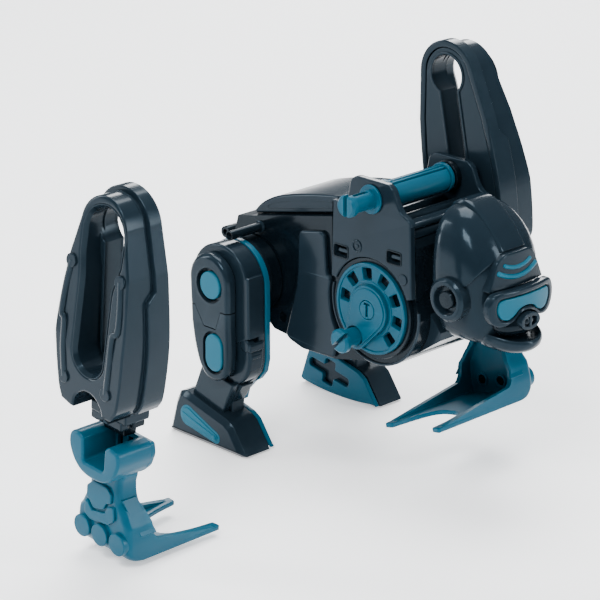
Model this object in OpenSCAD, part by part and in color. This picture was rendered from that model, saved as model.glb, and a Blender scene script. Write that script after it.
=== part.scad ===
// Wind-up style walking robot gorilla: a torso with a crank drive, four legs and a head.
// X points forward, Y to the toy's left, Z up; the origin is on the floor under the drive axle.

/* [Torso] */
// Height of the drive axle above the floor
axle_z = 81.5; // [76:0.5:90]
// Half of the distance over the side plates' outer faces
plate_y = 27; // [25:0.5:31]
// Thickness of a side plate
plate_t = 3.5; // [2.5:0.5:4]
// Height of the upper shaft above the drive axle
shaft_rise = 51; // [49:0.5:54]
// Wall of the trunk shells
trunk_wall = 2.4; // [1.6:0.2:3]
// Radius of the round drum round the drive axle
drum_r = 27; // [25:0.5:29]
// Radius of the upper shaft
shaft_r = 6; // [4.5:0.5:7]

/* [Drive] */
// Radius of a crank wheel
wheel_r = 21; // [19:0.5:23]
// Thickness of a crank wheel
wheel_t = 3; // [2:0.5:3.5]
// Distance from the axle to a crank pin
crank_r = 16.3; // [15:0.1:17]
// Radius of a crank pin
crank_pin_r = 3.6; // [3:0.1:4]
// Thickness of the crank arm that carries the pin
crank_arm_t = 2.4; // [1.6:0.2:2.6]
// Radius of the drive axle
axle_r = 3; // [2.5:0.25:3.5]
// Number of windows in a crank wheel
window_n = 10; // [6:1:12]
// Gear module
gear_m = 0.8; // [0.7:0.05:0.9]

/* [Front arms] */
// Distance from the crank hole up to the keyhole's centre
arm_hole_up = 82; // [78:0.5:86]
// Distance from the crank hole down to the hand's sole
arm_sole_down = 72; // [68:0.5:78]
// Half of an arm's width at its widest
arm_half_w = 23; // [21:0.5:25]
// Depth of an arm at its wrist
arm_depth = 24; // [20:0.5:27]
// Radius of the round end of the keyhole
keyhole_r = 9; // [8:0.25:9]
// Width of the channel that the upper shaft runs in
channel_w = 10; // [9.5:0.25:11]
// Half of the width of the outer slot
slot_half_w = 8.4; // [8.2:0.1:10]
// Radius of the outer slot's wide round top
slot_top_r = 11; // [10:0.5:12]
// Thickness of the arm's inner plate
arm_plate_t = 10; // [9:0.5:11]
// Depth of the whole toy together with the arm taken off
set_depth = 235; // [210:1:260]

/* [Hind legs] */
// Height of the hip pin above the floor
hip_z = 79; // [76:0.5:84]
// Distance of the hip pin behind the drive axle
hip_back = 77; // [74:0.5:80]
// Radius of the leg's round top
hip_r = 19; // [17:0.5:20]
// Distance from the middle plane to the legs' inner faces
leg_y = 34; // [33:0.5:38]
// Thickness of the inner layer of a leg
leg_inner_t = 3; // [2:0.5:4]
// Thickness of the main shell of a leg
leg_shell_t = 11; // [9:0.5:13]
// Thickness of the raised cover of a leg
leg_cover_t = 6; // [4:0.5:8]
// Radius of the hip pin
hip_pin_r = 5; // [4:0.5:6]
// Length of a foot
foot_len = 54; // [50:1:60]

/* [Head] */
// Distance of the head's centre ahead of the drive axle
head_x = 46; // [44:0.5:50]
// Height of the head's centre above the drive axle
head_up = 23.5; // [20:0.5:28]
// Half of the head's width
head_y = 22.5; // [20:0.5:25]
// Radius of an ear ring
ear_r = 10; // [8:0.5:10]
// Radius of the neck pin
neck_pin_r = 5; // [4:0.5:6]

/* [Back] */
// Half of the back cover's width
cover_y = 19; // [17:0.5:20]
// Wall of the back cover
cover_wall = 2; // [1.5:0.1:2.4]
// Height of the back cover's crown above its ledge
cover_rise = 9.5; // [8:0.5:12]

/* [Hidden] */
run_gap = 0.05;                 // running fit of a pin, on the radius
free_gap = 0.3;                 // between bodies that pass each other
$fn = 64;
HULL_FN = 32;

trunk_y = plate_y - plate_t;      // the side plates lie on the trunk
shaft_z = axle_z + shaft_rise;
head_z = axle_z + head_up;
crank_out = plate_y + crank_arm_t;          // outer face of a crank arm
arm_in_y = crank_out + 0.5;                 // inner face of the arm on the toy
crank_ang = 28.1;                           // far pin, from the top towards the front
arm_lean = -atan2(crank_r * sin(crank_ang), shaft_rise - crank_r * cos(crank_ang));
loose_lean = 4.7;
loose_x = -12.6;
loose_z = arm_sole_down * cos(loose_lean) + 15 * sin(loose_lean);

// Gear train: axle gear, compound gear and motor pinion
axle_gear_z = 36;
small_gear_z = 10;
big_gear_z = 32;
pinion_z = 8;
comp_x = -gear_m * (axle_gear_z + small_gear_z) / 2;
motor_x = comp_x - gear_m * (big_gear_z + pinion_z) / 2;
gear_y0 = 4;
gear_w = 4;
motor_r = 8;
motor_len = 17;

// Legs
hip_x = -hip_back;
leg_shell_y = leg_y + leg_inner_t;
leg_cover_y = leg_shell_y + leg_shell_t;
leg_out_y = leg_cover_y + leg_cover_t;
loose_arm_y = set_depth - leg_out_y - arm_depth;
foot_x = -foot_len - 57;

TEAL = [0.10, 0.45, 0.58];
TEAL_LIGHT = [0.25, 0.55, 0.66];
DARK = [0.20, 0.26, 0.31];
DARKER = [0.12, 0.16, 0.20];
STEEL = [0.70, 0.72, 0.74];
// Torso
ledge_rear = [-80, axle_z + 24.2];
ledge_front = [-25.5, axle_z + 36.3];
tail_top = [-89, axle_z + 22.4];
barrel_x = tail_top[0] - 11;
barrel_z = axle_z + 11;
barrel_r = 2.8;
barrel_pin_r = 1.4;
knuckle_y = 6;
stop_x = hip_x + 3;
stop_z = hip_z + 22.8;
stop_r = 2.2;
stop_end_y = leg_out_y - 10.8;
bay_y = 16;
bay_x0 = -82;
bay_x1 = -45;
bay_z = axle_z - 11;
screw_x = -59;
screw_z = axle_z - 20;
screw_r = 2.6;
screw_len = 4;
switch_x = -33;
trunk_front = drum_r - 3;
neck_x0 = trunk_front - 7;
neck_z = head_z - 5;
plate_x = drum_r - 2.4;
prong_neck_r = channel_w / 2 - 1;          // the arm swings a little about its channel
prong_head = [11.6, 10];
prong_head_t = 3.2;
flange_r = 6.2;
prong_y = arm_in_y + arm_plate_t + 0.4;       // inner face of a prong's head
prong_end_y = prong_y + prong_head_t;
// Inside the torso
cell_r = 7.2;
// Hind legs
knee_z = 30;
leg_front = 20;
cover_w = 13;
seam_z = 68.3;
cap_r = 8.2;
hip_cap = [hip_x + 0.9, hip_z + 0.9];
shin_cap_x = hip_x + 3.2;
shin_cap_z = [knee_z + 14.2, knee_z + 21.2];
shin_cap_r = 5.6;
// Front arms: X forward, Y outward from the inner face, Z up from the crank hole
crown_r = 16;
top_b = arm_hole_up + crown_r;
slot_low = 25;
hand_a = -2;
cup_floor = 27;
// Head
back_x = head_x - 16;
face_x = head_x + 17;
ear_x = head_x - 3;
ear_z = head_z - 8.5;
temple_r = head_y * 0.775;
cheek_r = head_y * 0.555;
chin_r = head_y * 0.36;
skull_top_r = head_y * 0.755;

// Extrudes an X-Z outline from y0 to y1
module xz(y0, y1) translate([0, y1, 0]) rotate([90, 0, 0]) linear_extrude(y1 - y0) children();
// Cylinder along Y from y0 to y1 at x, z
module ycyl(x, z, r, y0, y1) translate([x, y1, z]) rotate([90, 0, 0]) cylinder(r = r, h = y1 - y0);
// Cylinder along X, h long, from x at y, z
module xcyl(x, y, z, r, h) translate([x, y, z]) rotate([0, 90, 0]) cylinder(r = r, h = h);
// Box from its low corner to its high corner
module box(lo, hi) translate(lo) cube(hi - lo);
// Draws for the left side, or mirrored for the right side
module side(right) { if (right) mirror([0, 1, 0]) children(); else children(); }
module both_sides() for (right = [true, false]) side(right) children();
// Points of an arc, with its ends
function arc(cx, cz, r, a0, a1, n = 12) = [for (i = [0:n]) let (a = a0 + (a1 - a0) * i / n)
    [cx + r * cos(a), cz + r * sin(a)]];

// ---- Torso ----

module trunk_outline() polygon(concat(
    [[-92, axle_z + 5], [-91, axle_z + 15], tail_top, ledge_rear, ledge_front,
     [drum_r - 5, axle_z + 36.3], [drum_r - 3, axle_z + 33], [drum_r - 3, axle_z + 8]],
    arc(0, axle_z, drum_r, 0, -100, 24),
    [[-25, axle_z - 31.5], [-44.5, axle_z - 32], [-54.4, axle_z - 28.3], [-65, axle_z - 27.2],
     [-84, axle_z - 12]]));

module stop_bar() difference() {
    ycyl(stop_x, stop_z, stop_r, -stop_end_y, -trunk_y + 1);
    ycyl(stop_x, stop_z, stop_r - 0.9, -stop_end_y - 1, -stop_end_y + 3);
}
module trunk_half(y0, y1) {
    yi = trunk_y - trunk_wall;
    difference() {
        union() {
            xz(y0, y1) trunk_outline();
            // hollow stop bar over the hip
            if (y0 < 0) stop_bar(); else mirror([0, 1, 0]) stop_bar();
            // hinge barrel and its ear at the tail
            for (s = [-1, 1]) let (a = s < 0 ? -trunk_y + 2 : knuckle_y, b = s < 0 ? -knuckle_y : trunk_y - 2)
                if (a >= y0 && b <= y1) {
                    ycyl(barrel_x, barrel_z, barrel_r, a, b);
                    box([barrel_x, a, barrel_z - barrel_r], [-90, b, barrel_z]);
                }
        }
        // battery bay, open upwards under the back cover
        box([bay_x0, -bay_y, bay_z], [bay_x1, bay_y, axle_z + 60]);
        // gear bay
        box([motor_x - motor_r - free_gap, -yi + 2, axle_z - 17], [0, yi - 2, axle_z + 17]);
        ycyl(0, axle_z, 18.5, -yi + 2, yi - 2);
        ycyl(0, axle_z, axle_r + run_gap, -40, 40);
        ycyl(barrel_x, barrel_z, barrel_pin_r + run_gap, -40, 40);
        ycyl(hip_x, hip_z, hip_pin_r + run_gap, -40, -bay_y - 2);
        ycyl(hip_x, hip_z, hip_pin_r + run_gap, bay_y + 2, 40);
        both_sides() ycyl(screw_x, screw_z, screw_r, trunk_y - screw_len, 40);
        // slot of the power switch in the belly
        box([switch_x - 6, -3.3, axle_z - 40], [switch_x + 6, 3.3, axle_z - 16]);
        // seat of the neck pin
        xcyl(neck_x0, 0, neck_z, neck_pin_r, 30);
    }
}

module trunk_right() color(DARKER) trunk_half(-trunk_y, 0);
module trunk_left() color(DARKER) trunk_half(0, trunk_y);

module plate_outline() translate([0, axle_z]) polygon(concat(
    [[-plate_x, 9.7], [-plate_x, shaft_rise - 5.7], [-15, shaft_rise - 5.4], [-13.2, shaft_rise + 6.5],
     [-12, shaft_rise + 7.5], [10.5, shaft_rise + 7.5], [13, shaft_rise + 4.5], [17.1, shaft_rise - 1.6],
     [plate_x - 2, shaft_rise - 5.3], [plate_x, shaft_rise - 8], [plate_x, 10.4]],
    arc(0, 0, wheel_r + 2.6, 23, 157, 24)));
module side_plate(right) side(right) color(DARK) difference() {
    xz(trunk_y, plate_y) plate_outline();
    ycyl(0, shaft_z, shaft_r - 1.5, 0, 60);
    // latch windows
    for (w = [[-18.5, 22.6], [13.9, 27.2]])
        box([w[0] - 4, plate_y - 1.6, axle_z + w[1] - 2.6], [w[0] + 4, plate_y + 1, axle_z + w[1] + 2.6]);
}
module side_plate_right() side_plate(true);
module side_plate_left() side_plate(false);

module drum_ring(right) side(right) color(DARKER) difference() {
    ycyl(0, axle_z, wheel_r + 2.3, trunk_y, plate_y - 0.5);
    ycyl(0, axle_z, wheel_r + free_gap, trunk_y - 1, plate_y + 1);
}
module drum_ring_right() drum_ring(true);
module drum_ring_left() drum_ring(false);

module flank_panel(right) side(right) color(DARK) difference() {
    xz(trunk_y, trunk_y + 2) translate([0, axle_z]) polygon([
        [-46, 22], [-44, 25.5], [-33, 27.7], [-30.5, 26], [-29, 11], [-26.5, 7.6], [-25.5, -12],
        [-21.5, -22], [-25, -31], [-44.5, -31.5], [-54, -28], [-50.5, 0]]);
    ycyl(screw_x, screw_z, screw_r + 2, 0, 40);
}
module flank_panel_right() flank_panel(true);
module flank_panel_left() flank_panel(false);

module chest_block() color(DARK) difference() {
    xz(-17, 17) polygon([[10, axle_z - 25], [drum_r + 6, axle_z - 9], [drum_r + 6, axle_z - 5.5],
                         [drum_r, axle_z + 2], [drum_r - 3, axle_z + 7.8], [drum_r - 3, axle_z - 10]]);
    ycyl(0, axle_z, drum_r, -30, 30);
}

module cross_bars() color(DARK) for (z = [axle_z + 37.8, axle_z + 41.6])
    xz(-trunk_y, trunk_y) translate([drum_r - 7.5, z]) circle(r = 1.5);

module upper_shaft() color(TEAL) difference() {
    union() {
        ycyl(0, shaft_z, shaft_r, -trunk_y, trunk_y);
        both_sides() {
            ycyl(0, shaft_z, shaft_r - 1.5, trunk_y - 1, plate_y + 0.2);
            ycyl(0, shaft_z, flange_r, plate_y, plate_y + 1.2);
            ycyl(0, shaft_z, prong_neck_r, plate_y, prong_y + 1);
            box([-prong_head[0] / 2, prong_y, shaft_z - prong_head[1] / 2],
                [prong_head[0] / 2, prong_end_y, shaft_z + prong_head[1] / 2]);
        }
        // ribs along the top
        for (a = [50, 75, 100, 125])
            rotate_y(a) box([shaft_r - 0.5, -trunk_y + 0.5, -0.6], [shaft_r + 0.7, trunk_y - 0.5, 0.6]);
    }
    // slits that let the prongs spring
    both_sides() box([-0.9, plate_y + 3, shaft_z - 8], [0.9, 60, shaft_z + 8]);
}
module rotate_y(a) translate([0, 0, shaft_z]) rotate([0, -a, 0]) children();

// The cover's outline stands free_gap above the trunk's ledge
module back_cover() color(DARK) difference() {
    g = free_gap;
    union() {
        difference() {
            xz(-cover_y, cover_y) polygon(concat([[ledge_front[0] - 0.4, ledge_front[1] + g]],
                [for (i = [0:12]) let (t = i / 12) cover_point(t)], [[ledge_rear[0], ledge_rear[1] + g]]));
            xz(-cover_y + cover_wall, cover_y - cover_wall) polygon(concat(
                [[ledge_front[0] - 3, ledge_front[1] - 4]],
                [for (i = [0:12]) let (t = i / 12) cover_point(t) * 0.96 + [-2.4, axle_z * 0.04 + 0.3]],
                [[ledge_rear[0] + 4, ledge_rear[1] - 4]]));
        }
        xz(-knuckle_y + free_gap, knuckle_y - free_gap) polygon([
            [ledge_rear[0] + 1, ledge_rear[1] + g], [ledge_rear[0] + 1, ledge_rear[1] + g + 2],
            [tail_top[0] - 0.5, tail_top[1] + g + 2.2],
            [barrel_x - 1, barrel_z + 2], [barrel_x + 1, barrel_z],
            [tail_top[0] - g - 5.6, tail_top[1] - 7], [tail_top[0] - 0.3, tail_top[1] + g]]);
        ycyl(barrel_x, barrel_z, barrel_r, -knuckle_y + free_gap, knuckle_y - free_gap);
    }
    box([-95, -6, barrel_z - 8], [-91.2, 6, barrel_z - 2.9]);
}
// Crown of the cover, from its front edge (t = 0) to its rear (t = 1)
function cover_point(t) = let (x = ledge_front[0] - 0.4 + (ledge_rear[0] - ledge_front[0]) * t,
    z = ledge_front[1] + (ledge_rear[1] - ledge_front[1]) * t)
    [x, z + 2 + (cover_rise - 2) * pow(1 - pow(t, 2.2), 0.6)];

// ---- Inside the torso ----
module battery_cells() color([0.5, 0.52, 0.5]) for (i = [0, 1]) {
    z = bay_z + cell_r + free_gap + i * (2 * cell_r + 0.6);
    for (x = [bay_x0 + cell_r + 1.2, bay_x0 + 3 * cell_r + 2.4])
        ycyl(x, z, cell_r, -bay_y + 1.2, bay_y - 1.2);
}
module battery_contacts() color(STEEL)
    both_sides() box([bay_x0 + 2, bay_y - 0.9, bay_z + 1], [bay_x1 - 8, bay_y, bay_z + 29]);
module motor() color(STEEL) difference() {
    union() {
        ycyl(motor_x, axle_z, motor_r, gear_y0 - 5 - motor_len, gear_y0 - 5);
        ycyl(motor_x, axle_z, 3, gear_y0 - 5, gear_y0 - 4.4);
    }
    ycyl(motor_x, axle_z, 1 + run_gap, gear_y0 - 9, gear_y0);
}
module compound_pin() color(STEEL)
    ycyl(comp_x, axle_z, 1.5, -trunk_y + trunk_wall + 2, trunk_y - trunk_wall - 2);
module switch_slider() color(DARKER) {
    box([switch_x - 5, -3, axle_z - 22], [switch_x + 1, 3, axle_z - 17.5]);
    box([switch_x - 3.5, -2, axle_z - 33.2], [switch_x - 0.5, 2, axle_z - 22]);
}
module body_screws() color(STEEL) both_sides() difference() {
    ycyl(screw_x, screw_z, screw_r - 0.01, trunk_y - screw_len, trunk_y - 1.5);
    for (a = [0, 90]) translate([screw_x, trunk_y - 1.5, screw_z])
        rotate([0, a, 0]) cube([3, 1.6, 0.7], center = true);
}

// ---- Drive ----
// Straight-flanked tooth outline with backlash; the first tooth lies on +X
module gear(z, rot, w, bore) {
    rp = gear_m * z / 2;
    ra = rp + 0.75 * gear_m;
    rf = rp - 1.05 * gear_m;
    half = 0.36 * 180 / z;
    difference() {
        rotate(rot) linear_extrude(w) polygon([for (i = [0:z - 1]) let (c = 360 * i / z) each [
            rf * [cos(c - half * 1.7), sin(c - half * 1.7)], rp * [cos(c - half), sin(c - half)],
            ra * [cos(c - half * 0.42), sin(c - half * 0.42)],
            ra * [cos(c + half * 0.42), sin(c + half * 0.42)],
            rp * [cos(c + half), sin(c + half)], rf * [cos(c + half * 1.7), sin(c + half * 1.7)]]]);
        translate([0, 0, -1]) cylinder(r = bore, h = w + 2);
    }
}
// A gear lying across Y, from y0 on; angles run from +X towards -Z
module ygear(x, z, rot, y0, w, bore, at_z) translate([x, y0, at_z]) rotate([-90, 0, 0]) gear(z, rot, w, bore);

module drive_axle() color(STEEL) difference() {
    ycyl(0, axle_z, axle_r, -plate_y - crank_arm_t, plate_y + crank_arm_t);
    both_sides() box([-0.8, plate_y + 1, axle_z - 2], [0.8, 60, axle_z + 2]);
}
module crank_wheel(right) side(right) color(TEAL) difference() {
    ycyl(0, axle_z, wheel_r, plate_y - wheel_t, plate_y);
    ycyl(0, axle_z, axle_r, 0, 60);
    w0 = wheel_r - 3.6;
    for (i = [0:window_n - 1]) translate([0, 0, axle_z]) rotate([0, i * 360 / window_n + 8, 0])
        box([w0 - 2, 0, -2], [w0 + 2, 60, 2]);
}
module crank_wheel_right() crank_wheel(true);
module crank_wheel_left() crank_wheel(false);

// The crank's hub disc and pin eye, joined by straight sides; its pin has a split barbed end
module crank_arm(right) {
    a = crank_ang + (right ? 180 : 0);
    px = crank_r * sin(a);
    pz = axle_z + crank_r * cos(a);
    lip = prong_y;
    side(right) color(TEAL_LIGHT) {
        difference() {
            union() {
                hull() {
                    ycyl(0, axle_z, wheel_r * 0.5, plate_y, plate_y + crank_arm_t);
                    ycyl(px, pz, crank_pin_r + 1.4, plate_y, plate_y + crank_arm_t);
                }
            }
            ycyl(0, axle_z, axle_r, 0, 60);
            ycyl(px, pz, crank_pin_r - 1, plate_y - 1, plate_y + crank_arm_t + 1);
        }
        difference() {
            union() {
                ycyl(px, pz, crank_pin_r - 1, plate_y, plate_y + crank_arm_t);
                ycyl(px, pz, crank_pin_r, plate_y + crank_arm_t, prong_end_y);
                translate([px, lip, pz]) rotate([0, 45, 0])
                    box([-crank_pin_r - 1.6, 0, -2.4], [crank_pin_r + 1.6, prong_head_t, 2.4]);
            }
            translate([px, 0, pz]) rotate([0, 45, 0]) box([-0.9, arm_in_y + 0.5, -10], [0.9, 60, 10]);
        }
    }
}
module crank_arm_right() crank_arm(true);
module crank_arm_left() crank_arm(false);

module axle_gear() color([0.85, 0.85, 0.8]) ygear(0, axle_gear_z, 0, gear_y0, gear_w, axle_r, axle_z);
// The compound gear's small wheel has a gap, and its large wheel a tooth, on the line of centres
module compound_gear() color([0.85, 0.85, 0.8]) {
    ygear(comp_x, small_gear_z, 180 / small_gear_z, gear_y0, gear_w, 1.5 + run_gap, axle_z);
    ygear(comp_x, big_gear_z, 0, gear_y0 - 4, 3.7, 1.5 + run_gap, axle_z);
    difference() {
        ycyl(comp_x, axle_z, 2.6, gear_y0 - 0.3, gear_y0);
        ycyl(comp_x, axle_z, 1.5 + run_gap, gear_y0 - 1, gear_y0 + 1);
    }
}
module motor_pinion() color(STEEL) union() {
    ygear(motor_x, pinion_z, 180 / pinion_z, gear_y0 - 4.2, 3.9, 0.5, axle_z);
    ycyl(motor_x, axle_z, 1, gear_y0 - 8.5, gear_y0 - 0.3);
}

// ---- Hind legs ----
module leg_profile(grow = 0) polygon(concat(
    arc(hip_x + 0.5, hip_z, hip_r + grow, 180, 0, 24),
    [[hip_x + leg_front + grow, 44], [hip_x + leg_front - 1.4 + grow, 38],
     [hip_x + 12, 31.4], [hip_x + 7, 26], [hip_x + 5.4, 17],
     [hip_x + 5.4, 14], [hip_x - 19, 14], [hip_x - 16, 22], [hip_x - 11, 36],
     [hip_x - hip_r + 0.5 - grow, 56]]));
// Foot outline: heel at the rear, toe to the front, sole on the floor
module foot_profile(rocker) polygon(concat(
    [[foot_x + 1, rocker ? 3 : 0.6], [foot_x + 5, 16.5], [foot_x + 12, 21], [foot_x + 28, 18],
     [foot_x + 40, 15.5], [foot_x + 47, 11.5], [foot_x + 52, 6], [foot_x + foot_len, 1.2]],
    rocker ? [for (t = [0:0.1:1.01]) [foot_x + foot_len - 2 - (foot_len - 4) * t, 2 * pow(2 * t - 1, 2)]]
           : [[foot_x + foot_len - 4, 0], [foot_x + 4, 0]]));
module leg_inner(right) side(right) color(TEAL) difference() {
    union() {
        xz(leg_y, leg_shell_y) leg_profile();
        xz(leg_y, leg_shell_y) foot_profile(true);
        ycyl(hip_x, hip_z, hip_pin_r, bay_y + 2.6, leg_y);
        ycyl(hip_x, hip_z, hip_r - 0.8, trunk_y + free_gap, leg_y);
    }
    // cross-shaped cut-out in the foot
    for (b = [[15, 2.6], [2.5, 6.8]])
        box([foot_x + 27 - b[0], leg_y - 1, 9.8 - b[1]], [foot_x + 27 + b[0], leg_shell_y - 1.2, 9.8 + b[1]]);
}
module leg_shell(right) side(right) color(DARK) union() {
    xz(leg_shell_y, leg_cover_y) leg_profile(-0.5);
    xz(leg_shell_y, leg_out_y - 1) foot_profile(false);
    // shin block over the ankle
    xz(leg_cover_y - 1, leg_cover_y + 1.6) polygon([[hip_x - 9.5, knee_z + 5], [hip_x + 11.6, knee_z + 2.3],
        [hip_x + 5.4, 18], [hip_x + 5.4, 14], [hip_x - 19, 14], [hip_x - 16.5, 22]]);
    // knee latch on the front wall
    box([hip_x + leg_front - 4, leg_shell_y + 1.5, knee_z + 20.4],
        [hip_x + leg_front + 1, leg_cover_y - 0.4, knee_z + 24.6]);
}
module cover_profile(upper) polygon(concat(
    upper ? concat(arc(hip_x, hip_z + 2.6, cover_w, 180, 0, 24),
        [[hip_x + cover_w, seam_z + 0.3], [hip_x + 8.2, seam_z + 0.3], [hip_x + 4.8, seam_z - 8.7],
         [hip_x - 3, seam_z - 8.7], [hip_x - 9, seam_z + 0.3], [hip_x - cover_w, seam_z + 0.3]])
    : [[hip_x + cover_w, seam_z], [hip_x + 8.5, seam_z], [hip_x + 5.1, seam_z - 9],
       [hip_x - 3.3, seam_z - 9], [hip_x - 9.3, seam_z], [hip_x - cover_w, seam_z],
       [hip_x - 12.2, seam_z - 8], [hip_x - 10, knee_z + 18.5], [hip_x - 6.4, knee_z + 9],
       [hip_x - 1, knee_z + 4.3], [hip_x + 5, knee_z + 4.2],
       [hip_x + 11, knee_z + 8.4], [hip_x + cover_w, knee_z + 18]]));
module leg_cover(right, upper) side(right) color(DARK) difference() {
    xz(leg_cover_y, leg_out_y) cover_profile(upper);
    if (upper) ycyl(hip_cap[0], hip_cap[1], cap_r + 0.3, leg_out_y - 2, 99);
    else hull() for (z = shin_cap_z) ycyl(shin_cap_x, z, shin_cap_r + 1.3, leg_out_y - 2, 99);
}
module leg_caps(right) side(right) color(TEAL_LIGHT) {
    ycyl(hip_cap[0], hip_cap[1], cap_r - 1.6, leg_out_y - 2, leg_out_y - 0.3);
    hull() for (z = shin_cap_z) ycyl(shin_cap_x, z, shin_cap_r, leg_out_y - 2, leg_out_y);
    hull() {
        ycyl(foot_x + 15.2, 11.4, 5, leg_out_y - 1, leg_out_y + 0.6);
        ycyl(foot_x + 34, 6, 2.9, leg_out_y - 1, leg_out_y + 0.6);
    }
}
module leg_inner_right() leg_inner(true);
module leg_inner_left() leg_inner(false);
module leg_shell_right() leg_shell(true);
module leg_shell_left() leg_shell(false);
module thigh_cover_right() leg_cover(true, true);
module thigh_cover_left() leg_cover(false, true);
module shin_cover_right() leg_cover(true, false);
module shin_cover_left() leg_cover(false, false);
module leg_caps_right() leg_caps(true);
module leg_caps_left() leg_caps(false);

// ---- Front arms: X forward, Y outward from the inner face, Z up from the crank hole ----
module arm_outline(g = 0, low = -1) polygon(concat(
    [[-12, low], [-18.5, low + 0.5], [-20.5, 5], [-arm_half_w + g, 28], [-arm_half_w + 0.5 + g, 44],
     [-20.5 + g, 62]],
    arc(0, arm_hole_up - 0.5, crown_r - g, 172, 8, 24),
    [[20.5 - g, 62], [arm_half_w - 0.5 - g, 44], [arm_half_w - g, 28], [20.5, 5], [16, low]]));
// Everything under the sloping outer face, grow mm inside it
module under_face(grow = 0) translate([-40, 0, 0]) rotate([90, 0, 90]) linear_extrude(80)
    polygon([[-9, -90], [arm_depth - grow, -90], [arm_depth - grow, 30],
             [arm_depth * 0.64 - grow, top_b], [arm_depth * 0.6 - grow, 130], [-9, 130]]);
module slot(half_w, lo, hi, y0, y1) {
    ycyl(0, lo, half_w, y0, y1);
    ycyl(0, hi, half_w, y0, y1);
    box([-half_w, y0, lo], [half_w, y1, hi]);
}
// Outer slot: a narrow round foot and a wider round top
module arm_slot() {
    translate([0, slot_low]) circle(r = slot_half_w);
    translate([0, arm_hole_up - 3]) circle(r = slot_top_r);
    polygon([[-slot_half_w, slot_low], [slot_half_w, slot_low], [slot_half_w, 60],
             [slot_top_r * 0.98, arm_hole_up - 5], [-slot_top_r * 0.98, arm_hole_up - 5],
             [-slot_half_w, 60]]);
}
module place_arm(right) {
    if (right) translate([loose_x, -loose_arm_y, loose_z])
        rotate([0, loose_lean, 0]) mirror([0, 1, 0]) children();
    else translate([crank_r * sin(crank_ang), arm_in_y, axle_z + crank_r * cos(crank_ang)])
        rotate([0, arm_lean, 0]) children();
}
module arm_outer(right) place_arm(right) color(DARK) difference() {
    intersection() {
        xz(arm_plate_t, arm_depth) arm_outline(1.8);
        under_face();
    }
    xz(0, 60) arm_slot();
    ycyl(0, -0.5, 9, 0, 60);
    box([-9, 0, -20], [9, 60, -0.5]);
}
module arm_inner(right) place_arm(right) color(DARK) difference() {
    union() {
        xz(0, arm_plate_t) arm_outline();
        ycyl(0, 0, 10, 0, arm_plate_t);
        box([-10, 0, -13], [12, arm_plate_t, 0]);
    }
    ycyl(0, arm_hole_up, keyhole_r, -1, 30);
    slot(channel_w / 2, 20, arm_hole_up - 4, -1, 30);
    ycyl(0, 0, crank_pin_r + run_gap, -1, 30);
}
module wrist(right) place_arm(right) color(DARKER) {
    box([-8, arm_plate_t, -13.3], [11, 17, -9.8]);
    box([-7, 6, -cup_floor + 0.3], [4, 15, -13.3]);
}
module hand_outline() polygon([for (p = [
    [-12, -15], [-17, -16], [-19.5, -20], [-19, -27], [-12, -34.5], [-10, -41], [-12, -48], [-18, -54],
    [-18.5, -64], [-18, -arm_sole_down], [17, -arm_sole_down], [17.5, -60], [12, -47], [9.5, -41],
    [11, -35], [17, -27], [18, -20], [15, -15.5]]) [p[0] + hand_a, p[1]]]);
module hand(right) place_arm(right) color(TEAL) {
    difference() {
        intersection() {
            xz(0, 20) hand_outline();
            // thinner below the cup, with a rounded heel
            translate([-40, 0, 0]) rotate([90, 0, 90]) linear_extrude(80) polygon(concat(
                [[0, -10], [20, -10], [20, -29], [15, -35], [12.5, -42], [13, -60]],
                arc(6, -arm_sole_down + 7, 7, 0, -90, 8), [[0, -arm_sole_down]]));
        }
        // pocket for the wrist, open upwards and outwards
        box([hand_a - 10.5, 3, -cup_floor], [hand_a + 9.5, 30, 0]);
        // hollow of the palm, open inwards
        box([hand_a - 14, -1, -arm_sole_down + 3], [hand_a + 14, 5, -53]);
        for (a = [-7, 3.7]) ycyl(hand_a + a, -62, 2.4, 3, 30);
    }
    // prongs along the floor
    for (p = [[4, 15, 44, 11], [-15, -4, 52, -8]]) translate([hand_a, 0, -arm_sole_down]) linear_extrude(3)
        polygon([[p[0], 0], [p[1], 0], [p[3] + 2, -p[2]], [p[3] - 2, -p[2]]]);
    for (p = [[14, 44, 12], [-14, 52, -9]]) translate([hand_a, 0, -arm_sole_down]) linear_extrude(4.5)
        polygon([[p[0] - 1, 0], [p[0] + 1, 0], [p[2] + 1, -p[1]], [p[2] - 1, -p[1]]]);
    // knuckle discs and the plates on the back of the hand
    for (a = [-11.5, 0, 11.5]) ycyl(hand_a + a, -61, 4.8, 12, 14.6);
    xz(12, 14) polygon([[hand_a - 8, -43], [hand_a + 4, -43], [hand_a + 8, -47], [hand_a + 9, -54],
                        [hand_a - 2, -54.8], [hand_a - 9, -50]]);
}
module arm_outer_right() arm_outer(true);
module arm_outer_left() arm_outer(false);
module arm_inner_right() arm_inner(true);
module arm_inner_left() arm_inner(false);
module wrist_right() wrist(true);
module wrist_left() wrist(false);
module hand_right() hand(true);
module hand_left() hand(false);

// ---- Head ----
module skull() color(DARK) difference() {
    hull() {
        for (s = [-1, 1]) {
            translate([ear_x, s * head_y * 0.33, head_z + temple_r * 0.74])
                sphere(r = temple_r, $fn = HULL_FN);
            translate([head_x + 2, s * head_y * 0.44, head_z - cheek_r * 0.8])
                sphere(r = cheek_r, $fn = HULL_FN);
            translate([head_x + chin_r, s * head_y * 0.38, head_z - chin_r * 2])
                sphere(r = chin_r, $fn = HULL_FN);
        }
        translate([ear_x - 0.5, 0, head_z + skull_top_r * 0.8]) sphere(r = skull_top_r, $fn = HULL_FN);
    }
    box([-99, -99, 0], [back_x, 99, 300]);
    // flat seat of the face
    box([face_x - 3, -99, head_z - 40], [face_x + 40, 99, head_z + 14]);
    xcyl(back_x - 1, 0, neck_z, neck_pin_r + run_gap, 11);
    both_sides() ycyl(ear_x, ear_z, ear_r, head_y - 6, 99);
}
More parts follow.
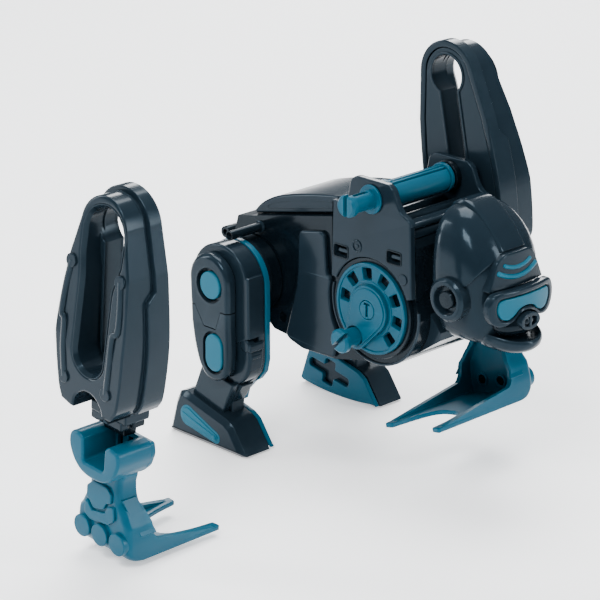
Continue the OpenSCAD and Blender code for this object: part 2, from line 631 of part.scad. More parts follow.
module neck_pin() color(DARKER) {
    xcyl(neck_x0, 0, neck_z, neck_pin_r, back_x - neck_x0 + 9);
    xcyl(trunk_front + free_gap, 0, neck_z, neck_pin_r + 3, back_x - trunk_front - 2 * free_gap);
}
module face_plan(w, r, d) hull() for (s = [-1, 1])
    translate([face_x - 3, s * (w - r)]) scale([d / r, 1]) circle(r = r, $fn = HULL_FN);
// Front pieces: an X-Z profile cut to a rounded plan
module face_block(w, r, d, z0, z1) translate([0, 0, z0]) linear_extrude(z1 - z0) intersection() {
    face_plan(w, r, d);
    translate([face_x - 3, -50]) square([60, 100]);
}
module brow_plate() color(DARK) intersection() {
    face_block(17, 8, 6, head_z - 2.5, head_z + 14);
    translate([face_x - 4, 0, 0]) rotate([90, 0, 90]) linear_extrude(30)
        polygon([[-17, head_z - 2.5], [17, head_z - 2.5], [9, head_z + 14], [-9, head_z + 14]]);
}
module brow_inlays() color(TEAL_LIGHT) for (z = [head_z + 4, head_z + 9])
    translate([0, 0, z]) linear_extrude(1.8) difference() {
        intersection() { face_plan(9, 5, 6.7); translate([face_x + 1, -8]) square([60, 16]); }
        face_plan(17, 8, 6);
    }
module visor_frame() color(DARK) difference() {
    face_block(19, 9, 9, head_z - 17, head_z - 2.8);
    translate([0, 0, head_z - 14.5]) linear_extrude(9) difference() {
        translate([face_x - 1, -16]) square([60, 32]);
        face_plan(17, 8, 7.6);
    }
}
module visor_lens() color(TEAL_LIGHT) translate([0, 0, head_z - 14.5]) linear_extrude(9) intersection() {
    difference() { face_plan(18, 8.5, 8.6); face_plan(17, 8, 7.6); }
    translate([face_x - 1, -15.9]) square([60, 31.8]);
}
module snout() color(DARKER) difference() {
    union() {
        face_block(10, 6, 10, head_z - 24, head_z - 17.2);
        xcyl(face_x + 6, 0, head_z - 19.5, 4.2, 5);
    }
    for (s = [-1, 1]) xcyl(face_x + 9, s * 2.1, head_z - 19.5, 1.4, 9);
}
module jaw() color(DARK) translate([0, 0, head_z - 32]) linear_extrude(7.5) intersection() {
    face_plan(15, 10, 12);
    translate([face_x - 3, -50]) square([60, 100]);
}
module ear_rings() color(DARK) both_sides() difference() {
    ycyl(ear_x, ear_z, ear_r, head_y - 6, head_y + 4);
    ycyl(ear_x, ear_z, ear_r - 3, head_y + 0.6, 99);
}
module ear_caps() color(DARKER) both_sides()
    ycyl(ear_x, ear_z, ear_r - 5.2, head_y + 0.6, head_y + 2.2);

trunk_right();
trunk_left();
side_plate_right();
side_plate_left();
drum_ring_right();
drum_ring_left();
flank_panel_right();
flank_panel_left();
chest_block();
cross_bars();
upper_shaft();
back_cover();
battery_cells();
battery_contacts();
motor();
compound_pin();
switch_slider();
body_screws();
drive_axle();
crank_wheel_right();
crank_wheel_left();
crank_arm_right();
crank_arm_left();
axle_gear();
compound_gear();
motor_pinion();
leg_inner_right();
leg_shell_right();
thigh_cover_right();
shin_cover_right();
leg_caps_right();
leg_inner_left();
leg_shell_left();
thigh_cover_left();
shin_cover_left();
leg_caps_left();
arm_outer_right();
arm_inner_right();
wrist_right();
hand_right();
arm_outer_left();
arm_inner_left();
wrist_left();
hand_left();
skull();
neck_pin();
brow_plate();
brow_inlays();
visor_frame();
visor_lens();
snout();
ear_rings();
ear_caps();
jaw();
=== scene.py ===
"""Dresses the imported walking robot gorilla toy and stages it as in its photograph."""

import logging
import math
from collections.abc import Callable, Sequence
from dataclasses import dataclass
from enum import Enum

import bmesh
import bpy
from mathutils import Matrix, Vector
from mathutils.bvhtree import BVHTree


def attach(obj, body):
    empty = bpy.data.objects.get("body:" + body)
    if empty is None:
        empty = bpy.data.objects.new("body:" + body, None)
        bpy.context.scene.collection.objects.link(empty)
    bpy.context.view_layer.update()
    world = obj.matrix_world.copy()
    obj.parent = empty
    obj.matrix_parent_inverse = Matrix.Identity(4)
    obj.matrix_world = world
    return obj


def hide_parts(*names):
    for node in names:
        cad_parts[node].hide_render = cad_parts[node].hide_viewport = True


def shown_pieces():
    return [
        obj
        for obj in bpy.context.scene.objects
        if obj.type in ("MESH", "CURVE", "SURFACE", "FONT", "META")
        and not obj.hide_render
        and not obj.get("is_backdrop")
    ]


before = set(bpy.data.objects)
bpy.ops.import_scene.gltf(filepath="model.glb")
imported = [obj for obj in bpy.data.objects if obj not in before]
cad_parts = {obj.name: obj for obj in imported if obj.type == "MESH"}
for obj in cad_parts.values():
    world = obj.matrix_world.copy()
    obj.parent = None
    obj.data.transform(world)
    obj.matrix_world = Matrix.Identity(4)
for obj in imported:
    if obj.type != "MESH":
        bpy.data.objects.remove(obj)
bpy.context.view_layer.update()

LOG = logging.getLogger("gorilla")
MM = 0.001
Point = tuple[float, float]
Loop = list[Point]

# Named points in the photograph's 600 x 600 frame
PHOTO_SIZE = (600, 600)
IMAGE_POINTS: dict[str, Point] = {
    "left_edge": (55, 335),
    "right_edge": (552, 290),
    "top_edge": (449, 34),
    "bottom_edge": (139, 557),
    "near_wheel": (370.5, 308.9),
    "near_hip_cap": (209.3, 285.2),
    "near_ear": (446, 300),
    "plate_ring_mark": (357, 246),
    "plate_disc_mark": (403, 280),
    "near_foot_inlay": (199, 426),
    "shaft_far_end": (449.5, 176),
    "near_middle_knuckle": (101, 534),
}
# The outer points: which coordinate they bound, and the end of it
EDGES: dict[str, tuple[int, Callable]] = {
    "left_edge": (0, min), "right_edge": (0, max), "top_edge": (1, min), "bottom_edge": (1, max)}
# What shows at each other point: a piece, and the corners in mm of the part of it that counts
Corner = tuple[float, float, float]
SHOWN_BY: dict[str, tuple[str, Corner, Corner]] = {
    "near_wheel": ("crank_wheel_face_right", (-30, -40, 50), (30, 0, 110)),
    "near_hip_cap": ("leg_cap_inlays_right", (-90, -90, 70), (-60, 0, 95)),
    "near_ear": ("ear_rings_turned", (30, -40, 80), (60, 0, 110)),
    "plate_ring_mark": ("plate_ring_right", (-30, -40, 80), (30, 0, 130)),
    "plate_disc_mark": ("plate_disc_right", (-30, -40, 80), (30, 0, 130)),
    "near_foot_inlay": ("leg_cap_inlays_right", (-140, -90, 0), (-40, 0, 20)),
    "shaft_far_end": ("shaft_barrel", (-10, 20, 120), (10, 30, 145)),
    "near_middle_knuckle": ("hand_shell_right", (-23.2, -172.1, 7.3), (-12.6, -171.2, 17.9)),
}
# How much nearer, in metres, another face has to be to hide a place
HIDDEN_BY = 0.0006


class Side(Enum):
    """The toy's own right (near the camera) or left side."""

    RIGHT = -1
    LEFT = 1

    @property
    def word(self) -> str:
        """Returns the side's word in node and body names."""
        return self.name.lower()


class Slot(Enum):
    """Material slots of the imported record."""

    TEAL = "teal_plastic"
    DRIVE_TEAL = "drive_teal"
    TRIM = "teal_trim"
    BLACK = "black_plastic"
    DARK = "dark_plastic"
    CELL = "cell_sleeve"
    STEEL = "steel"
    PLATED = "plated_steel"
    GEAR = "gear_plastic"


# ---------------------------------------------------------------- shader maths
class Sock:
    """A value socket of a material's node tree that takes part in Python expressions."""

    def __init__(self, tree: bpy.types.NodeTree, out: bpy.types.NodeSocket) -> None:
        """Keeps the tree and the output socket that it stands for."""
        self.tree = tree
        self.out = out

    def _math(self, operation: str, first: "Sock | float", second: "Sock | float") -> "Sock":
        """Adds a Math node.

        Args:
            operation: Math node operation.
            first: Its first value.
            second: Its second value.

        Returns:
            The node's result.
        """
        return add_node(self.tree, "ShaderNodeMath", {"operation": operation},
                        {0: first, 1: second})

    def __add__(self, other: "Sock | float") -> "Sock":
        """Returns the sum."""
        return self._math("ADD", self, other)

    def __radd__(self, other: float) -> "Sock":
        """Returns the sum."""
        return self._math("ADD", other, self)

    def __sub__(self, other: "Sock | float") -> "Sock":
        """Returns the difference."""
        return self._math("SUBTRACT", self, other)

    def __mul__(self, other: "Sock | float") -> "Sock":
        """Returns the product."""
        return self._math("MULTIPLY", self, other)

    def clamp(self) -> "Sock":
        """Returns the value kept between 0 and 1."""
        return self._math("MAXIMUM", self._math("MINIMUM", self, 1.0), 0.0)


def add_node(tree: bpy.types.NodeTree, kind: str, settings: dict[str, object] | None = None,
             inputs: dict[object, object] | None = None, output: object = 0) -> Sock:
    """Adds any node to a tree.

    Args:
        tree: Node tree to add to.
        kind: Node type.
        settings: Attributes set first; "stops" fills a colour ramp.
        inputs: Values or Sock links by socket name or index.
        output: Name or index of the output wanted.

    Returns:
        That output, wrapped.
    """
    node = tree.nodes.new(kind)
    for key, value in (settings or {}).items():
        if key == "stops":
            ramp = node.color_ramp
            while len(ramp.elements) < len(value):
                ramp.elements.new(0.5)
            for element, (place, colour) in zip(ramp.elements, value):
                element.position = place
                element.color = colour
        else:
            setattr(node, key, value)
    for key, value in (inputs or {}).items():
        if isinstance(value, Sock):
            tree.links.new(value.out, node.inputs[key])
        else:
            node.inputs[key].default_value = value
    return Sock(tree, node.outputs[output])


Colour = tuple[float, float, float]


def rgba(colour: Colour) -> tuple[float, float, float, float]:
    """Returns a colour with full alpha."""
    return (*colour, 1.0)


def noise(tree: bpy.types.NodeTree, place: Sock, scale: float, detail: float,
          roughness: float = 0.5) -> Sock:
    """Returns noise over a place, of a scale, a detail and a roughness."""
    return add_node(tree, "ShaderNodeTexNoise", None,
                    {"Vector": place, "Scale": scale, "Detail": detail, "Roughness": roughness})


def blend(tree: bpy.types.NodeTree, share: Sock, first: object, second: object) -> Sock:
    """Returns a mix of two colours, all of the second where the share is 1."""
    return add_node(tree, "ShaderNodeMix", {"data_type": "RGBA"}, {0: share, 6: first, 7: second},
                    2)


@dataclass(frozen=True)
class Plastic:
    """Injection-moulded glossy plastic with mould grain, handling haze and a painted highlight on
    its sharp edges.
    """

    name: str
    base: Colour
    deep: Colour
    rubbed: Colour
    roughness: float = 0.17
    haze: float = 0.06
    grain: float = 0.015
    coat: float = 0.05
    shine: float = 0.13
    sheen: Colour = (0.42, 0.66, 0.86)
    metallic: float = 0.0
    flow_scale: float = 26.0
    smudge_scale: float = 90.0
    grain_scale: float = 1900.0
    edge_from: float = 0.515
    edge_gain: float = 9.0

    def make(self) -> bpy.types.Material:
        """Builds the node material.

        Returns:
            The material.
        """
        material = bpy.data.materials.new(self.name)
        material.use_nodes = True
        tree = material.node_tree
        shader = tree.nodes["Principled BSDF"]
        place = add_node(tree, "ShaderNodeTexCoord", output="Object")
        flow = noise(tree, place, self.flow_scale, 3.0, 0.55)
        smudge = noise(tree, place, self.smudge_scale, 5.0, 0.6)
        fine = noise(tree, place, self.grain_scale, 2.0)
        # Sharp edges, found by pointiness, are blended towards a lighter colour: a painted
        # highlight along the rims, patchy where the smudge noise is low.
        sharpness = add_node(tree, "ShaderNodeNewGeometry", output="Pointiness")
        edge = ((sharpness - self.edge_from) * self.edge_gain).clamp()
        edge = (edge * (smudge * 1.4)).clamp()
        body = blend(tree, flow, rgba(self.deep), rgba(self.base))
        highlit = blend(tree, edge * 0.3, body, rgba(self.rubbed))
        tree.links.new(highlit.out, shader.inputs["Base Color"])
        rough = self.roughness + (smudge - 0.5) * self.haze + edge * 0.12
        tree.links.new(rough.out, shader.inputs["Roughness"])
        height = fine * 0.7 + smudge * 0.3
        bump = add_node(tree, "ShaderNodeBump", None,
                        {"Height": height, "Strength": self.grain, "Distance": 0.0002})
        tree.links.new(bump.out, shader.inputs["Normal"])
        values = {"Coat Weight": self.coat, "Coat Roughness": 0.08, "Metallic": self.metallic,
                  "Specular IOR Level": self.shine, "Specular Tint": rgba(self.sheen)}
        for name, value in values.items():
            shader.inputs[name].default_value = value
        return material


# The third colour of each finish is its painted edge highlight.
FINISHES: dict[Slot, Plastic] = {
    Slot.DARK: Plastic("dark_blue_grey_plastic", (0.0062, 0.0125, 0.0185), (0.0048, 0.0100, 0.0150),
                       (0.040, 0.060, 0.075)),
    Slot.BLACK: Plastic("near_black_plastic", (0.0020, 0.0044, 0.0066), (0.0014, 0.0032, 0.0050),
                        (0.02, 0.032, 0.042), roughness=0.15),
    Slot.TEAL: Plastic("teal_plastic", (0.0022, 0.062, 0.104), (0.0016, 0.052, 0.090),
                       (0.04, 0.18, 0.26), roughness=0.3, shine=0.14),
    Slot.DRIVE_TEAL: Plastic("drive_teal_plastic", (0.0014, 0.056, 0.094), (0.0010, 0.048, 0.082),
                             (0.03, 0.16, 0.24), roughness=0.28, shine=0.14),
    Slot.TRIM: Plastic("light_teal_plastic", (0.0044, 0.084, 0.132), (0.0036, 0.074, 0.118),
                       (0.06, 0.22, 0.30), roughness=0.4, shine=0.12),
    Slot.CELL: Plastic("cell_sleeve", (0.35, 0.36, 0.36), (0.30, 0.31, 0.31), (0.6, 0.6, 0.6),
                       roughness=0.35),
    Slot.STEEL: Plastic("turned_steel", (0.50, 0.51, 0.52), (0.42, 0.43, 0.44), (0.7, 0.7, 0.7),
                        roughness=0.3, metallic=1.0, coat=0.0),
    Slot.PLATED: Plastic("plated_steel", (0.58, 0.58, 0.57), (0.50, 0.50, 0.49), (0.75, 0.75, 0.75),
                         roughness=0.27, metallic=1.0, coat=0.0),
    Slot.GEAR: Plastic("acetal_plastic", (0.72, 0.72, 0.68), (0.66, 0.66, 0.62), (0.85, 0.85, 0.82),
                       roughness=0.4, coat=0.0),
}
MATERIALS: dict[Slot, bpy.types.Material] = {
    slot: finish.make() for slot, finish in FINISHES.items()}


# ------------------------------------------------------------------- outlines
def arc(cx: float, cz: float, radius: float, start: float, end: float, steps: int = 12) -> Loop:
    """Returns points of an arc between two angles in degrees, both ends included."""
    angles = [math.radians(start + (end - start) * i / steps) for i in range(steps + 1)]
    return [(cx + radius * math.cos(a), cz + radius * math.sin(a)) for a in angles]


def turns(count: int) -> list[float]:
    """Returns the even turns of a full circle."""
    return [math.tau * i / count for i in range(count)]


def ring(cx: float, cz: float, radius: float, steps: int = 64) -> Loop:
    """Returns a full circle as a loop."""
    return arc(cx, cz, radius, 0, 360 * (steps - 1) / steps, steps - 1)


def rect(x0: float, z0: float, x1: float, z1: float) -> Loop:
    """Returns a rectangle as a loop."""
    return [(x0, z0), (x1, z0), (x1, z1), (x0, z1)]


def area(loop: Loop) -> float:
    """Returns a loop's signed area."""
    return 0.5 * sum(a[0] * b[1] - b[0] * a[1] for a, b in zip(loop, loop[1:] + loop[:1]))


def dense(loop: Loop, step: float) -> Loop:
    """Returns a loop with points added so that none lie further apart than step."""
    points: Loop = []
    for (x0, z0), (x1, z1) in zip(loop, loop[1:] + loop[:1]):
        parts = max(1, math.ceil(math.dist((x0, z0), (x1, z1)) / step))
        points.extend((x0 + (x1 - x0) * i / parts, z0 + (z1 - z0) * i / parts)
                      for i in range(parts))
    return points


def fillet(loop: Loop, radius: float | Sequence[float], steps: int = 5) -> Loop:
    """Rounds a loop's corners.

    Args:
        loop: Closed loop of corners.
        radius: One radius for all corners or one for each.
        steps: Segments of each rounded corner.

    Returns:
        The rounded loop.
    """
    rounded: Loop = []
    count = len(loop)
    for i, corner in enumerate(loop):
        here = Vector(corner)
        back, ahead = Vector(loop[i - 1]) - here, Vector(loop[(i + 1) % count]) - here
        size = radius if isinstance(radius, (int, float)) else radius[i]
        reach = min(size, back.length * 0.49, ahead.length * 0.49)
        if reach < 0.01:
            rounded.append(corner)
            continue
        first, last = here + back.normalized() * reach, here + ahead.normalized() * reach
        for k in range(steps + 1):
            t = k / steps
            spot = first * (1 - t) ** 2 + here * 2 * t * (1 - t) + last * t ** 2
            rounded.append((spot.x, spot.y))
    return rounded


def inset(loop: Loop, amount: float) -> Loop:
    """Returns a loop moved inwards by an amount, or outwards if it is negative."""
    turn = 1.0 if area(loop) > 0 else -1.0
    moved: Loop = []
    count = len(loop)
    for i, corner in enumerate(loop):
        here = Vector(corner)
        a = (here - Vector(loop[i - 1])).normalized()
        b = (Vector(loop[(i + 1) % count]) - here).normalized()
        na, nb = Vector((-a.y, a.x)) * turn, Vector((-b.y, b.x)) * turn
        middle = na + nb
        if middle.length < 0.2:
            middle = na
        middle.normalize()
        spot = here + middle * amount / max(0.35, middle.dot(na))
        moved.append((spot.x, spot.y))
    return moved


def smooth_path(points: Sequence[Sequence[float]], steps: int,
                closed: bool = False) -> list[Vector]:
    """Runs a Catmull-Rom curve through points.

    Args:
        points: Points to pass through.
        steps: Segments between neighbours.
        closed: Whether the curve comes back to its start.

    Returns:
        Points of the curve.
    """
    spots = [Vector(p) for p in points]
    count = len(spots)
    spans = count if closed else count - 1
    path: list[Vector] = []
    for i in range(spans):
        p1, p2 = spots[i], spots[(i + 1) % count]
        p0 = spots[i - 1] if closed or i > 0 else p1 * 2 - p2
        p3 = spots[(i + 2) % count] if closed or i + 2 < count else p2 * 2 - p1
        for k in range(steps):
            t = k / steps
            path.append(0.5 * ((p1 * 2) + (p2 - p0) * t + (p0 * 2 - p1 * 5 + p2 * 4 - p3) * t ** 2
                               + (p1 * 3 - p0 - p2 * 3 + p3) * t ** 3))
    if not closed:
        path.append(spots[-1])
    return path


def curved(points: Sequence[Point], steps: int, closed: bool = False) -> Loop:
    """Returns a smooth line through points, or a loop if it is closed."""
    return [(p.x, p.y) for p in smooth_path(points, steps, closed)]


def mirrored(half: Sequence[Point], on_middle: bool = False) -> Loop:
    """Returns a loop from its right half, whose ends may lie on the middle."""
    return [*half, *[(-x, z) for x, z in reversed(half[1:-1] if on_middle else half)]]


def smooth_step(low: float, high: float, value: float) -> float:
    """Returns 0 below low, 1 above high and an eased ramp between."""
    t = min(1.0, max(0.0, (value - low) / (high - low)))
    return t * t * (3 - 2 * t)


def read_off(stations: Sequence[Sequence[float]], at: float, eased: bool = False) -> list[float]:
    """Reads a table between its rows.

    Args:
        stations: Rows that each start with their place.
        at: Place to read at.
        eased: Whether values ease in and out between rows.

    Returns:
        The values at that place, held past the ends.
    """
    rows = sorted(stations)
    for low, high in zip(rows, rows[1:]):
        if at <= high[0]:
            t = max(0.0, (at - low[0]) / (high[0] - low[0]))
            t = smooth_step(0, 1, t) if eased else t
            return [a + (b - a) * t for a, b in zip(low[1:], high[1:])]
    return list(rows[-1][1:])


def span(way: int, near: float, far: float) -> list[float]:
    """Returns two depths on the left (1) or right (-1) of the middle, the lower first."""
    return sorted((way * near, way * far))


# --------------------------------------------------------------------- pieces
Warp = Callable[[Vector], Vector]


class Piece:
    """A dressed piece being put together from shapes in its own frame, in millimetres.

    X runs forward, Y outward from the toy's middle and Z up, whatever the side.
    """

    def __init__(self, name: str, place: Matrix | None = None) -> None:
        """Starts an empty piece.

        Args:
            name: Object name.
            place: Own frame to world, in millimetres.
        """
        self.name = name
        self.place = place or Matrix.Identity(4)
        self.mesh = bmesh.new()
        self.slots: list[Slot] = []

    def _take(self, mesh: bpy.types.Mesh, slot: Slot, warp: Warp | None = None) -> None:
        """Adds a mesh that is in the piece's own frame.

        Args:
            mesh: Mesh to add; it is removed afterwards.
            slot: Finish of its faces.
            warp: Moves each vertex, if given.
        """
        if slot not in self.slots:
            self.slots.append(slot)
        index = self.slots.index(slot)
        if warp:
            for vertex in mesh.vertices:
                vertex.co = warp(vertex.co)
        for polygon in mesh.polygons:
            polygon.material_index = index
        self.mesh.from_mesh(mesh)
        bpy.data.meshes.remove(mesh)

    def plate(self, loops: Sequence[Loop], y0: float, y1: float, rim: float = 0.4,
              slot: Slot = Slot.DARK, warp: Warp | None = None, steps: int = 3) -> "Piece":
        """Adds a plate with rounded rims between two depths.

        Args:
            loops: Outline first, then holes, as X-Z loops.
            y0: Lower depth.
            y1: Upper depth.
            rim: Radius of the rounded rims.
            slot: Finish.
            warp: Moves each vertex, if given.
            steps: Segments of a rim.

        Returns:
            The piece.
        """
        curve = bpy.data.curves.new("outline", "CURVE")
        curve.dimensions = "2D"
        curve.fill_mode = "BOTH"
        rim = min(rim, (y1 - y0) / 2 - 0.005)
        curve.extrude = (y1 - y0) / 2 - rim
        curve.bevel_depth = rim
        curve.offset = -rim
        curve.bevel_resolution = steps - 1
        for loop in loops:
            spline = curve.splines.new("POLY")
            spline.points.add(len(loop) - 1)
            for point, (x, z) in zip(spline.points, loop):
                point.co = (x, z, 0, 1)
            spline.use_cyclic_u = True
        item = bpy.data.objects.new("outline", curve)
        mesh = bpy.data.meshes.new_from_object(item)
        bpy.data.objects.remove(item)
        bpy.data.curves.remove(curve)
        for vertex in mesh.vertices:
            x, z, y = vertex.co
            vertex.co = (x, (y0 + y1) / 2 + y, z)
        self._take(mesh, slot, warp)
        return self

    def grid(self, rows: Sequence[Sequence[Sequence[float]]], slot: Slot = Slot.DARK,
             caps: bool = True) -> "Piece":
        """Adds a skin over rows of points, each of which closes on itself.

        Args:
            rows: Rows with equal counts.
            slot: Finish.
            caps: Whether the first and last rows are filled.

        Returns:
            The piece.
        """
        width = len(rows[0])
        faces = [(r + c, r + (c + 1) % width, r + width + (c + 1) % width, r + width + c)
                 for r in range(0, width * (len(rows) - 1), width) for c in range(width)]
        if caps:
            faces.append(tuple(reversed(range(width))))
            faces.append(tuple(range((len(rows) - 1) * width, len(rows) * width)))
        mesh = bpy.data.meshes.new("grid")
        mesh.from_pydata([tuple(p) for row in rows for p in row], [], faces)
        self._take(mesh, slot)
        return self

    def rod(self, x: float, z: float, radius: float, y0: float, y1: float, rim: float = 0.3,
            slot: Slot = Slot.DARK, hole: float = 0.0, warp: Warp | None = None,
            steps: int = 64) -> "Piece":
        """Adds a round plate along Y, with a hole if a radius is given for it.

        Returns:
            The piece.
        """
        loops = [ring(x, z, radius, steps)] + ([ring(x, z, hole, steps)] if hole else [])
        return self.plate(loops, y0, y1, rim, slot, warp)

    def turned(self, profile: Sequence[Point], at: Sequence[float],
               axis: Sequence[float] = (0, 1, 0), slot: Slot = Slot.DARK,
               steps: int = 64) -> "Piece":
        """Adds a body of revolution.

        Args:
            profile: Pairs of distance along the axis and radius.
            at: Point on the axis.
            axis: Direction of the axis.
            slot: Finish.
            steps: Segments round the axis.

        Returns:
            The piece.
        """
        turn = Vector((0, 0, 1)).rotation_difference(Vector(axis)).to_matrix()
        rows = [[Vector(at) + turn @ Vector((radius * math.cos(a), radius * math.sin(a), along))
                 for a in turns(steps)] for along, radius in profile]
        return self.grid(rows, slot)

    def ball(self, centre: Sequence[float], radii: Sequence[float],
             slot: Slot = Slot.DARK) -> "Piece":
        """Adds an ellipsoid.

        Returns:
            The piece.
        """
        rows = []
        for high, wide in arc(0, 0, 1, 171, 9, 18):
            spots = [(wide * math.cos(a), wide * math.sin(a), high) for a in turns(32)]
            rows.append([tuple(c + r * s for c, r, s in zip(centre, radii, spot))
                         for spot in spots])
        return self.grid(rows, slot)

    def bead(self, path: Sequence[Sequence[float]], radius: float, slot: Slot = Slot.DARK,
             closed: bool = False, squash: float = 1.0, steps: int = 10) -> "Piece":
        """Adds a round bead along a path.

        Args:
            path: Points of the centre line.
            radius: Bead radius.
            slot: Finish.
            closed: Whether the path closes on itself.
            squash: Height of the bead's section over its width, in Y.
            steps: Segments round the bead.

        Returns:
            The piece.
        """
        spots = [Vector(p) for p in path]
        rows = []
        count = len(spots)
        for i, spot in enumerate(spots):
            before = spots[i - 1] if closed or i else spot
            after = spots[(i + 1) % count] if closed or i + 1 < count else spot
            along = (after - before).normalized()
            side = along.cross(Vector((0, 1, 0)))
            side.normalize()
            up = side.cross(along).normalized()
            rows.append([spot + (side * math.cos(a) + up * math.sin(a) * squash) * radius
                         for a in turns(steps)])
        if closed:
            rows.append(rows[0])
        return self.grid(rows, slot, caps=not closed)

    def box(self, lo: Sequence[float], hi: Sequence[float], rim: float = 0.4,
            slot: Slot = Slot.DARK) -> "Piece":
        """Adds a rounded box between two corners.

        Returns:
            The piece.
        """
        loop = fillet(rect(lo[0], lo[2], hi[0], hi[2]), rim * 1.5, 4)
        return self.plate([loop], lo[1], hi[1], rim, slot)

    def cut(self, cutter: "Piece") -> "Piece":
        """Cuts another piece's shape out of this one.

        Args:
            cutter: Closed shape in the same frame; it is used up.

        Returns:
            The piece.
        """
        objects = [self._bare(), cutter._bare()]
        modifier = objects[0].modifiers.new("cut", "BOOLEAN")
        modifier.operation = "DIFFERENCE"
        modifier.solver = "EXACT"
        modifier.object = objects[1]
        depsgraph = bpy.context.evaluated_depsgraph_get()
        result = bpy.data.meshes.new_from_object(objects[0].evaluated_get(depsgraph))
        self.mesh = bmesh.new()
        self.mesh.from_mesh(result)
        for item in objects:
            data = item.data
            bpy.data.objects.remove(item)
            bpy.data.meshes.remove(data)
        bpy.data.meshes.remove(result)
        return self

    def _bare(self) -> bpy.types.Object:
        """Returns a linked object of the shapes so far, in the piece's own frame."""
        bmesh.ops.remove_doubles(self.mesh, verts=self.mesh.verts, dist=0.0005)
        bmesh.ops.recalc_face_normals(self.mesh, faces=self.mesh.faces)
        mesh = bpy.data.meshes.new(self.name)
        self.mesh.to_mesh(mesh)
        self.mesh.free()
        item = bpy.data.objects.new(self.name, mesh)
        bpy.context.scene.collection.objects.link(item)
        bpy.context.view_layer.update()
        return item

    def sliced(self, step: float) -> "Piece":
        """Cuts every face at even steps across X, so that a warp bends it smoothly."""
        ends = [v.co.x for v in self.mesh.verts]
        x = min(ends) + step / 2
        while x < max(ends):
            everything = [*self.mesh.verts, *self.mesh.edges, *self.mesh.faces]
            bmesh.ops.bisect_plane(self.mesh, geom=everything, plane_co=(x, 0, 0),
                                   plane_no=(1, 0, 0))
            x += step
        return self

    def warped(self, warp: Warp) -> "Piece":
        """Moves every vertex so far by a warp."""
        for vertex in self.mesh.verts:
            vertex.co = warp(vertex.co)
        return self

    def done(self, body: str, *nodes: str, subdivide: int = 0,
             sharp: float = 32.0) -> bpy.types.Object:
        """Turns the piece into an object that rides on a body.

        Args:
            body: CAD body it moves with.
            nodes: CAD nodes it stands for.
            subdivide: Levels of subdivision.
            sharp: Angle in degrees above which an edge is shaded sharp.

        Returns:
            The object.
        """
        bmesh.ops.remove_doubles(self.mesh, verts=self.mesh.verts, dist=0.0005)
        bmesh.ops.recalc_face_normals(self.mesh, faces=self.mesh.faces)
        self.mesh.transform(Matrix.Scale(MM, 4) @ self.place)
        if self.place.determinant() < 0:
            bmesh.ops.reverse_faces(self.mesh, faces=self.mesh.faces)
        mesh = bpy.data.meshes.new(self.name)
        self.mesh.to_mesh(mesh)
        self.mesh.free()
        for slot in self.slots:
            mesh.materials.append(MATERIALS[slot])
        mesh.polygons.foreach_set("use_smooth", [True] * len(mesh.polygons))
        mesh.set_sharp_from_angle(angle=math.radians(sharp))
        item = bpy.data.objects.new(self.name, mesh)
        bpy.context.scene.collection.objects.link(item)
        if subdivide:
            modifier = item.modifiers.new("smooth", "SUBSURF")
            modifier.levels = modifier.render_levels = subdivide
        else:
            item.modifiers.new("flat_faces", "WEIGHTED_NORMAL").keep_sharp = True
        bpy.context.view_layer.update()
        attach(item, body)
        if nodes:
            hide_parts(*nodes)
        LOG.info("%s: %d faces, rides on %s", self.name, len(mesh.polygons), body)
        return item


# ------------------------------------------------------- shared sizes and places
# Heights of the drive axle and the top shaft
AXLE_Z = 81.5
SHAFT_Z = 132.5
# Depths of the trunk's side, the side plate's outer face and an arm's inner face
TRUNK_Y = 23.5
PLATE_Y = 27.0
ARM_IN_Y = 29.9
WHEEL_R = 21.0


def side_place(side: Side) -> Matrix:
    """Returns the frame of one side of the toy: X forward, Y outward, Z up."""
    return Matrix.Diagonal((1, side.value, 1, 1))


def side_piece(name: str, side: Side, place: Matrix | None = None) -> Piece:
    """Starts a piece that is named for its side, in the side's frame unless another is given."""
    return Piece(f"{name}_{side.word}", place or side_place(side))


def tilt(point: Sequence[float], degrees: float) -> Matrix:
    """Returns a frame at a point, leaning forward by an angle about Y."""
    return Matrix.Translation(point) @ Matrix.Rotation(math.radians(degrees), 4, "Y")


